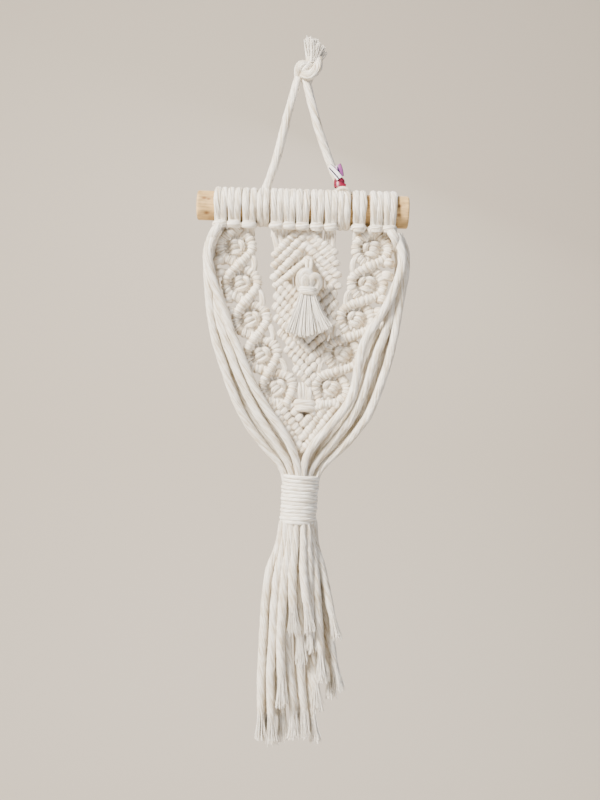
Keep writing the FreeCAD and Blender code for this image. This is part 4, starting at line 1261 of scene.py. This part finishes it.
TUFT_LOCKS = [
    [(3.6, -0.6, 7.2), (2.8, -1.0, 12.0), (1.7, -1.4, 19.2)],
    [(4.4, -1.4, 7.0), (4.0, -2.0, 12.6), (3.2, -2.4, 19.6)],
    [(5.2, -0.2, 7.2), (5.2, 0.0, 12.6), (4.9, 0.4, 19.4)],
    [(5.8, -1.4, 7.0), (6.4, -2.0, 12.4), (6.6, -2.2, 18.6)],
    [(6.4, 0.2, 7.2), (7.4, 0.6, 12.2), (8.4, 1.2, 17.4)],
    [(7.0, -1.2, 7.0), (8.4, -1.6, 11.4), (10.2, -1.8, 15.6)],
    [(7.8, -0.2, 7.2), (9.6, -0.2, 10.6), (11.8, -0.4, 13.2)],
    [(4.8, 1.4, 7.2), (4.2, 2.4, 12.4), (3.6, 3.0, 18.4)],
    [(6.8, 1.4, 7.2), (8.0, 2.4, 11.6), (9.2, 2.8, 15.8)],
    [(6.2, -2.0, 6.8), (7.2, -2.8, 11.8), (8.4, -3.0, 16.6)],
    [(5.2, -2.0, 6.8), (5.4, -2.8, 12.0), (5.2, -3.0, 18.6)],
]
tuft_paths = in_millimetres(TUFT_LOCKS)
tuft = grow(
    "hanger_tuft_fibres", paths_mesh(tuft_paths, seed=5), COMBED_LOCK, Fibres=34, Fibre_width=0.4,
    Root_width=2.6, Spread=0.3, Stray=1.5, Shortest=0.82, Seed=3, Material=COMBED_COTTON,
)
placed(tuft, "hanger", ["hanger_tuft"])


# %% Ribbon
def strip_colours(tree, which, colours):
    """A colour for each of the three strips of ribbon."""
    ramp = add(tree, "ShaderNodeValToRGB", {0: which})
    ramp.color_ramp.interpolation = "CONSTANT"
    stops = ramp.color_ramp.elements
    stops[0].color = linear(colours[0])
    stops[1].position = 0.4
    stops[1].color = linear(colours[1])
    stops.new(0.75).color = linear(colours[2])
    return ramp.outputs["Color"]


def printed_ribbon():
    """Shiny woven ribbon: a generic print of coloured bands, with no words or marks."""
    material, tree, shader = new_material("printed_satin_ribbon", Roughness=0.38, Specular_IOR_Level=0.5)
    which = add(tree, "ShaderNodeAttribute", attribute_name="strand")
    space = add(tree, "ShaderNodeAttribute", attribute_name="fibre")
    axes = add(tree, "ShaderNodeSeparateXYZ", {0: space.outputs["Vector"]})
    wave = add(tree, "ShaderNodeMath", {0: axes.outputs["Y"], 1: 2.6}, operation="MULTIPLY")
    lines = add(tree, "ShaderNodeMath", {0: wave.outputs[0]}, operation="SINE")
    inked = add(tree, "ShaderNodeMath", {0: lines.outputs[0], 1: 0.55}, operation="GREATER_THAN")
    grounds = strip_colours(tree, which.outputs["Fac"], ("#F1EEF2", "#7C1232", "#8C4A86"))
    inks = strip_colours(tree, which.outputs["Fac"], ("#2B2436", "#5A0C24", "#241C38"))
    mixed = add(tree, "ShaderNodeMix", {
        0: inked.outputs[0], 6: grounds, 7: inks,
    }, data_type="RGBA")
    tree.links.new(mixed.outputs[2], shader.inputs["Base Color"])
    return material


RIBBON_STRIPS = [
    (0.1, [(15.6, -2.3, -44.8), (18.0, -3.2, -47.2), (20.8, -3.2, -50.6)]),
    (0.9, [(19.6, -2.0, -43.8), (20.9, -2.7, -46.4), (21.3, -2.8, -49.4)]),
    (0.5, [
        (18.4, -2.2, -50.6), (20.8, -3.2, -51.4), (23.2, -1.8, -52.4), (23.4, 1.6, -53.2),
        (20.6, 2.6, -53.2), (18.0, 0.8, -52.8), (18.6, -2.4, -53.0), (21.6, -3.6, -54.2),
        (23.8, -2.8, -54.8),
    ]),
]
RIBBON_AXIS_X = 0.0202
UNTWISTED = 100000.0
strips = in_millimetres([route for _, route in RIBBON_STRIPS])
ribbon_source = paths_mesh(strips, outward=[
    [Vector((p.x - RIBBON_AXIS_X, p.y, 0)).normalized() for p in path] for path in strips
])
tints = [tint for (tint, _), path in zip(RIBBON_STRIPS, strips) for _ in path]
ribbon_source.attributes["strand"].data.foreach_set("value", tints)
ribbon = grow("ribbon_strips", ribbon_source, LAID_CORD, Step=0.0006, Width=3.4, Thickness=0.45,
              Sides=12, Ridge=0.0, Lay=UNTWISTED, Material=printed_ribbon())
placed(ribbon, "hanger", ["ribbon_tie"])

# %% [markdown]
# ## Side panels
# Each side panel is two rows of hitches that cross again and again like a plait. Each eye between
# two crossings holds a square knot, tied on four cords. The row that runs down to the left always
# passes in front. A smooth loop joins the rows along the inner edge at each crossing.

# %% Ring motifs
LEFT_RINGS = [(-29.5, -86.6), (-26.1, -104.6), (-20.8, -122.2), (-14.9, -139.6), (-6.6, -155.8)]
RIGHT_RINGS = [(38.0, -85.4), (36.4, -102.8), (31.4, -120.4), (25.4, -138.0), (20.2, -155.2)]
RIB_Y = -3.3
CROSSING_LIFT = 1.3
FIRST_CROSSING = {"left": (-29.6, -77.2), "right": (38.4, -76.0)}
LAST_CROSSING = {"left": (-1.6, -163.6), "right": (15.8, -163.4)}


def motif(top, centre, bottom):
    """A helper frame: turns (across, along) about a ring's centre into a point, with a depth."""
    along = Vector((bottom[0] - top[0], bottom[1] - top[1])).normalized()
    across = Vector((-along.y, along.x))
    if across.x < 0:
        across = -across
    return lambda a, b, y: (
        centre[0] + across.x * a - along.x * b, y, centre[1] + across.y * a - along.y * b,
    )


SQUARE_KNOT = [
    [(-3.4, 1.6, -0.8), (-2.2, 2.6, -3.6), (0.2, 3.0, -3.9), (1.8, 2.0, -1.0)],
    [(0.6, 3.2, -0.8), (2.6, 2.4, -4.0), (3.7, -0.2, -3.8), (2.2, -1.8, -1.0)],
    [(-3.2, -0.8, -0.8), (-2.0, 0.0, -3.8), (0.4, 0.5, -4.1), (1.9, -0.4, -1.0)],
    [(-2.6, -2.0, -0.8), (-1.2, -2.7, -3.7), (1.4, -2.5, -4.0), (2.9, -1.6, -1.0)],
]
HOLDING_CORDS = [
    [(1.2, 3.4, -2.0), (1.0, 5.4, -2.2), (1.5, 7.6, -1.4)],
    [(2.4, 2.0, -1.6), (4.2, 3.6, -1.8), (6.0, 4.6, -1.6)],
    [(3.0, 0.8, -1.2), (5.0, 1.2, -1.3), (7.2, 1.6, -1.2)],
]
EDGE_LOOP = [
    (6.6, -4.2, -3.6), (8.6, -6.4, -4.2), (8.8, -9.4, -4.4), (8.2, -12.2, -4.2), (6.4, -14.0, -3.4),
]


def square_knot(at, inner):
    """The flower: a small square knot shows as three short bars and a round lobe beside them."""
    return [[at(a * inner, b, y) for a, b, y in cord] for cord in SQUARE_KNOT]


def ring_motif(side, number, centre, top, bottom):
    """Two arcs of hitches, the square knot in the eye, the cords that hold it, and the edge loops."""
    at = motif(top, centre, bottom)
    inner = 1 if side == "left" else -1
    front, behind = RIB_Y - CROSSING_LIFT, RIB_Y + CROSSING_LIFT
    left_arc = [
        (top[0], front, top[1]), at(-4.6, 6.2, RIB_Y - 0.6), at(-8.2, 2.6, RIB_Y),
        at(-8.2, -2.6, RIB_Y), at(-4.6, -6.2, RIB_Y + 0.6), (bottom[0], behind, bottom[1]),
    ]
    right_arc = [
        (top[0], behind, top[1]), at(4.6, 6.2, RIB_Y + 0.6), at(8.2, 2.6, RIB_Y),
        at(8.2, -2.6, RIB_Y), at(4.6, -6.2, RIB_Y - 0.6), (bottom[0], front, bottom[1]),
    ]
    cords = square_knot(at, inner)
    for a, b in ((-1, 1), (1, 1), (-1, -1), (1, -1)):
        for route in HOLDING_CORDS:
            cords.append([at(a * across, b * along, y) for across, along, y in route])
    plain = len(cords)
    if number < 5:
        cords.append([at(inner * across, along, y) for across, along, y in EDGE_LOOP])
    girth = [0.85] * 4 + [0.62] * (plain - 4) + [0.9] * (len(cords) - plain)
    if number < 3:
        for b in (-6.0, -12.4):
            cords.append([
                at(-inner * 6.8, b, -0.6), at(-inner * 7.8, b + 0.3, -5.4),
                at(-inner * 9.8, b - 0.3, -5.2), at(-inner * 10.8, b, -0.4),
            ])
            girth.append(1.4)
    knot(
        f"{side}_ring_{number}_knots", "panel", "cotton_cord", [f"{side}_ring_{number}"],
        cords=cords, rows=[left_arc, right_arc], girth=girth + [1.0, 1.0], lean=[1],
        Width=3.3, Thickness=2.5, Row_width=4.8, Pitch=2.1, Hitch_width=2.9, Row_depth=4.9, Slant=0.4,
    )


for side, rings in (("left", LEFT_RINGS), ("right", RIGHT_RINGS)):
    crossings = [FIRST_CROSSING[side]]
    for above, below in zip(rings, rings[1:]):
        crossings.append(((above[0] + below[0]) / 2, (above[1] + below[1]) / 2))
    crossings.append(LAST_CROSSING[side])
    for number, centre in enumerate(rings, start=1):
        ring_motif(side, number, centre, crossings[number - 1], crossings[number])

# %% [markdown]
# ## Centre panel
# Ten cords hang from the five middle heads. Rows of hitches cross them: first like a roof, then
# like a V, each row as straight as its core cord is pulled. Between the rows the cords show as
# thin dark gaps.

# %% Centre panel
ROW_Y = -3.5
ROOF_ROWS = [
    [(-9.9, -89.8), (-3.4, -82.0), (2.6, -75.4)],
    [(3.4, -75.4), (10.6, -81.4), (18.9, -87.4)],
    [(-10.0, -95.0), (-2.6, -87.2), (5.0, -79.0)],
    [(5.4, -78.9), (12.8, -85.6), (20.2, -92.8)],
    [(-9.9, -101.0), (-2.6, -92.9), (4.6, -84.9)],
    [(5.0, -84.5), (13.2, -91.6), (21.0, -98.6)],
    [(-8.8, -105.2), (-1.0, -98.4), (6.2, -91.9)],
    [(6.6, -91.8), (14.4, -98.2), (21.6, -104.2)],
]
VALLEY_ROWS = [
    [(-3.9, -104.5), (1.6, -109.6), (7.0, -115.0)], [(7.2, -115.0), (12.6, -110.0), (18.0, -105.2)],
    [(-6.3, -107.1), (0.6, -113.6), (7.2, -120.3)], [(7.4, -120.3), (13.6, -114.4), (19.8, -108.4)],
    [(-8.5, -110.4), (-0.4, -117.8), (7.5, -125.6)], [(7.7, -125.6), (14.2, -119.4), (20.6, -113.2)],
    [(-8.7, -115.6), (-0.4, -123.0), (7.8, -130.9)], [(8.0, -130.9), (14.0, -125.0), (20.0, -119.0)],
    [(-7.8, -121.4), (0.2, -128.6), (8.0, -136.2)], [(8.3, -136.2), (13.6, -131.0), (18.6, -125.8)],
    [(-5.6, -128.8), (1.4, -135.2), (8.3, -141.8)], [(8.5, -141.8), (12.4, -138.0), (16.3, -134.0)],
    [(-2.2, -136.8), (3.2, -142.0), (8.5, -147.2)], [(8.7, -147.2), (11.2, -144.8), (13.7, -142.0)],
    [(2.6, -146.4), (5.8, -149.4), (8.6, -152.5)], [(8.9, -152.6), (10.1, -151.4), (11.2, -150.0)],
]
LEFT_EDGE = [
    (-76.5, -10.4), (-90.0, -10.6), (-107.0, -9.8), (-119.0, -7.9), (-129.0, -5.5),
    (-139.0, -0.7), (-149.0, 4.6), (-156.0, 6.8),
]
RIGHT_EDGE = [
    (-76.5, 18.8), (-88.0, 20.0), (-98.0, 21.4), (-111.0, 21.8), (-121.0, 19.8),
    (-131.0, 17.6), (-140.0, 13.9), (-149.0, 10.6), (-156.0, 9.6),
]


def edge_x(edge, z):
    """Where an edge of the panel is at height z."""
    for (z1, x1), (z2, x2) in zip(edge, edge[1:]):
        if z >= z2:
            return x1 + (x2 - x1) * (z - z1) / (z2 - z1)
    return edge[-1][1]


WARP_ENDS = [x for pair in LARKS_HEADS["larks_heads_centre"] for x in pair]


def warp_cords(heights):
    """The hanging cords behind the rows, gathered with the panel's edges."""
    cords = []
    for index, head_x in enumerate(WARP_ENDS):
        share = (index + 0.5) / len(WARP_ENDS)
        cord = []
        for z in heights:
            left, right = edge_x(LEFT_EDGE, z), edge_x(RIGHT_EDGE, z)
            x = left + (right - left) * share
            cord.append((head_x if z > -80 else x, -1.2 if z < -88 else -3.4, z))
        cords.append(cord)
    return cords


def with_depth(row):
    """A row's route, a little proud of the panel in its middle."""
    return [(x, ROW_Y - 0.3 * (0 < i < len(row) - 1), z) for i, (x, z) in enumerate(row)]


knot(
    "centre_panel_upper_knots", "panel", "cotton_cord", ["centre_panel_upper"],
    cords=warp_cords((-78.5, -86.0, -94.0, -102.0, -112.0)), rows=[with_depth(r) for r in ROOF_ROWS],
    girth=[0.95] * 10 + [1.0] * 8, lean=[1, 3, 5, 7], Width=2.7, Thickness=2.3, Row_width=4.3,
    Pitch=2.5, Row_depth=4.7,
)
knot(
    "centre_panel_lower_knots", "panel", "cotton_cord", ["centre_panel_lower"],
    cords=warp_cords((-111.0, -120.0, -130.0, -140.0, -150.0)), rows=[with_depth(r) for r in VALLEY_ROWS],
    girth=[0.9] * 10 + [1.0] * 16, lean=range(1, 16, 2), Width=2.5, Thickness=2.2, Row_width=4.1,
    Pitch=2.5, Row_depth=4.6,
)

# %% [markdown]
# ## Where the panels meet
# The side panels come together below the centre panel's point: one wide square knot, then three
# V rows nested in each other, with small gaps where the core cords part.

# %% Apex
APEX_ROWS = [
    [(-10.0, -164.2), (-1.4, -175.4), (6.6, -186.2)], [(25.0, -160.6), (16.6, -172.6), (8.4, -184.8)],
    [(-4.6, -164.8), (1.4, -172.4), (6.8, -179.4)], [(18.6, -163.2), (13.4, -171.0), (8.0, -178.6)],
    [(0.4, -164.4), (3.8, -168.6), (7.0, -172.8)], [(14.6, -162.8), (11.2, -168.0), (7.8, -172.4)],
]
apex_cords = [
    [
        (3.0, -2.6, -161.9), (2.2, -4.6, -163.0), (5.0, -6.2, -162.6), (9.6, -6.0, -162.8),
        (12.4, -4.4, -163.6), (11.4, -2.6, -165.0),
    ],
    [
        (3.4, -2.6, -164.4), (2.6, -4.8, -165.6), (5.4, -6.4, -165.4), (9.8, -6.2, -165.4),
        (12.2, -4.6, -166.4), (10.8, -2.6, -167.4),
    ],
    [(4.4, -2.8, -153.0), (4.6, -4.4, -156.0), (5.0, -4.6, -159.6), (5.6, -3.6, -163.0)],
    [(6.2, -2.6, -152.8), (6.2, -3.8, -156.0), (6.2, -4.2, -159.6), (6.4, -3.6, -163.0)],
    [(8.0, -2.6, -153.4), (8.4, -4.0, -156.0), (8.2, -4.2, -159.6), (8.0, -3.6, -163.0)],
    [(9.6, -2.8, -153.0), (9.8, -4.4, -156.0), (9.6, -4.6, -159.6), (9.0, -3.6, -163.0)],
]
BACK_CORDS = 8
for index in range(BACK_CORDS):
    share = (index + 0.5) / BACK_CORDS
    apex_cords.append([
        (-7.0 + 28.0 * share, -1.4, -161.0), (-2.0 + 19.0 * share, -1.2, -170.0),
        (3.0 + 9.0 * share, -1.2, -180.0), (5.2 + 4.4 * share, -1.4, -190.0),
    ])
for x in (5.0, 7.2, 9.4):
    apex_cords.append([
        (x, -2.2, -184.0), (x - 0.2, -2.6, -190.0), (x - 0.8, -3.0, -196.0), (x - 1.0, -3.2, -202.0),
    ])
knot(
    "apex_knot_rows", "panel", "cotton_cord", ["apex_knot"], cords=apex_cords,
    rows=[with_depth(r) for r in APEX_ROWS], lean=[1, 3, 5],
    girth=[1.15, 1.15] + [0.72] * 4 + [0.8] * 8 + [1.1] * 3 + [1.0] * 6,
    Width=3.3, Thickness=2.6, Row_width=4.7, Pitch=2.8, Hitch_width=3.8, Row_depth=5.0,
)

# %% [markdown]
# ## The little tassel
# A hank of soft cotton is folded over its tie, which leaves two round lobes at the top, and bound
# below them with a few turns. Then it is cut level and combed.

# %% Tassel
TASSEL_X, TASSEL_Y = 6.8, -11.0
knot(
    "tassel_tie", "tassel_loop", "cotton_cord", ["tassel_loop"],
    cords=[
        [(6.0, -4.6, -92.0), (5.9, -8.2, -93.2), (6.2, -10.6, -96.2), (6.6, -10.8, -99.6)],
        [(8.0, -4.6, -92.2), (8.2, -8.2, -93.4), (8.0, -10.4, -96.4), (7.6, -10.6, -99.6)],
    ],
    Width=2.0, Thickness=2.0, Material=CORD_COTTON,
)
knot(
    "tassel_head_lobes", "tassel", "cotton_cord", ["tassel_head"],
    cords=[
        [
            (3.8, -9.6, -107.0), (2.4, -11.2, -103.4), (3.6, -12.6, -99.2), (6.8, -12.8, -98.6),
            (8.0, -11.8, -102.0), (7.4, -11.0, -107.0),
        ],
        [
            (5.4, -10.0, -107.0), (4.4, -12.4, -104.0), (5.6, -13.4, -100.6), (6.6, -12.4, -104.0),
            (6.2, -11.0, -107.4),
        ],
        [
            (7.4, -9.4, -107.0), (7.6, -12.2, -103.4), (9.0, -12.8, -100.6), (11.6, -11.6, -101.4),
            (12.2, -10.6, -104.6), (9.8, -10.0, -107.8),
        ],
        [
            (5.0, -8.2, -107.0), (4.2, -8.2, -103.0), (6.8, -8.6, -99.6), (9.8, -8.4, -102.6),
            (9.0, -8.2, -107.0),
        ],
    ],
    girth=[1.1, 1.0, 1.1, 1.1], Width=3.9, Thickness=3.3, Material=CORD_COTTON, Ridge=0.16, Sides=18,
)


def oval_turns(centre, half_width, half_depth, top, bottom, turns, steps=16):
    """A cord wound round an oval, from top to bottom."""
    route = []
    for step in range(turns * steps + 1):
        angle = math.tau * step / steps + math.pi / 2
        x, y = centre[0] + half_width * math.cos(angle), centre[1] + half_depth * math.sin(angle)
        route.append((x, y, top + (bottom - top) * step / (turns * steps)))
    return route


knot(
    "tassel_neck_turns", "tassel", "cotton_cord", ["tassel_binding"],
    cords=[oval_turns((TASSEL_X, TASSEL_Y), 4.0, 3.2, -106.4, -109.8, 3)],
    outward=lambda p: Vector((p.x - TASSEL_X * MM, p.y - TASSEL_Y * MM, 0)).normalized(),
    Width=1.7, Thickness=1.3, Material=CORD_COTTON,
)
SKIRT_HEM = [
    (-2.0, -128.6), (2.0, -130.6), (6.0, -131.2), (10.5, -130.0), (15.0, -128.0), (18.8, -125.8),
]
skirt_locks = []
for layer, (y_top, y_hem) in enumerate(((-12.6, -14.2), (-11.2, -11.6), (-9.8, -9.0))):
    for index in range(9):
        share = (index + 0.5 * (layer == 1)) / 8.5
        spot = min(share, 0.999) * (len(SKIRT_HEM) - 1)
        low, high = SKIRT_HEM[int(spot)], SKIRT_HEM[int(spot) + 1]
        x = low[0] + (high[0] - low[0]) * (spot % 1)
        z = low[1] + (high[1] - low[1]) * (spot % 1)
        neck_x = 4.0 + 5.6 * share
        skirt_locks.append([
            (neck_x, y_top, -108.4), (neck_x + (x - neck_x) * 0.22, y_top - 0.4, -114.4),
            (neck_x + (x - neck_x) * 0.64, (y_top + y_hem) / 2, -121.6), (x, y_hem, z),
        ])
skirt_paths = in_millimetres(skirt_locks)
skirt = grow(
    "tassel_skirt_fibres", paths_mesh(skirt_paths, seed=9), COMBED_LOCK, Fibres=14, Fibre_width=0.55,
    Root_width=1.9, Spread=0.5, Stray=1.2, Shortest=0.93, Seed=7, Material=COMBED_COTTON,
)
placed(skirt, "tassel", ["tassel_skirt"])

# %% [markdown]
# ## The gathering wrap
# All the cords are drawn together and bound with thinner, smoother cotton, turn on turn. Both its
# ends are buried under the turns.

# %% Wrap and core
WRAP_RADIUS = 8.3
WRAP_TURNS = 13
WRAP_STEPS = 24
rng = random.Random(21)
wrap_route = []
for step in range(WRAP_TURNS * WRAP_STEPS + 1):
    turn = step / WRAP_STEPS
    angle = math.tau * turn + math.pi / 2
    share = turn / WRAP_TURNS
    sag = (0.3 * math.cos(angle) - 0.8 * math.sin(angle)) * share
    wobble = 0.16 * math.sin(turn * 2.3) + 0.10 * math.sin(angle * 3 + turn) + 0.5 * (1 - share) ** 3
    reach = WRAP_RADIUS + wobble
    z = (WRAP_TOP / MM + 0.2) + (WRAP_FOOT - WRAP_TOP + 0.9 * MM) / MM * share
    x = WRAP_CENTRE.x / MM + 0.4 - 0.8 * share
    wrap_route.append((x + reach * math.cos(angle), reach * math.sin(angle), z + sag))
knot(
    "gathering_wrap_turns", "bundle", "cotton_twine", ["gathering_wrap"], cords=[wrap_route],
    outward=lambda p: Vector((p.x - WRAP_CENTRE.x, p.y, 0)).normalized(),
    Width=2.15, Thickness=2.0, Sides=14, Material=TWINE_COTTON, Ridge=0.14, Lay=30.0,
)
CORE_X = WRAP_CENTRE.x / MM
CORE_RING = 6
CORE_REACH = 4.5
core_cords = [[(CORE_X, 0, -198.0), (CORE_X, 0, -214.0), (CORE_X, 0, -231.0)]]
for index in range(CORE_RING):
    angle = math.tau * index / CORE_RING
    x, y = CORE_X + CORE_REACH * math.cos(angle), CORE_REACH * math.sin(angle)
    core_cords.append([(x, y, -198.6), (x, y, -214.0), (x, y, -229.0)])
knot(
    "wrap_core_cords", "bundle", "cotton_cord", ["wrap_core"], cords=core_cords,
    Width=4.4, Thickness=4.4, Sides=16, Material=CORD_COTTON,
)
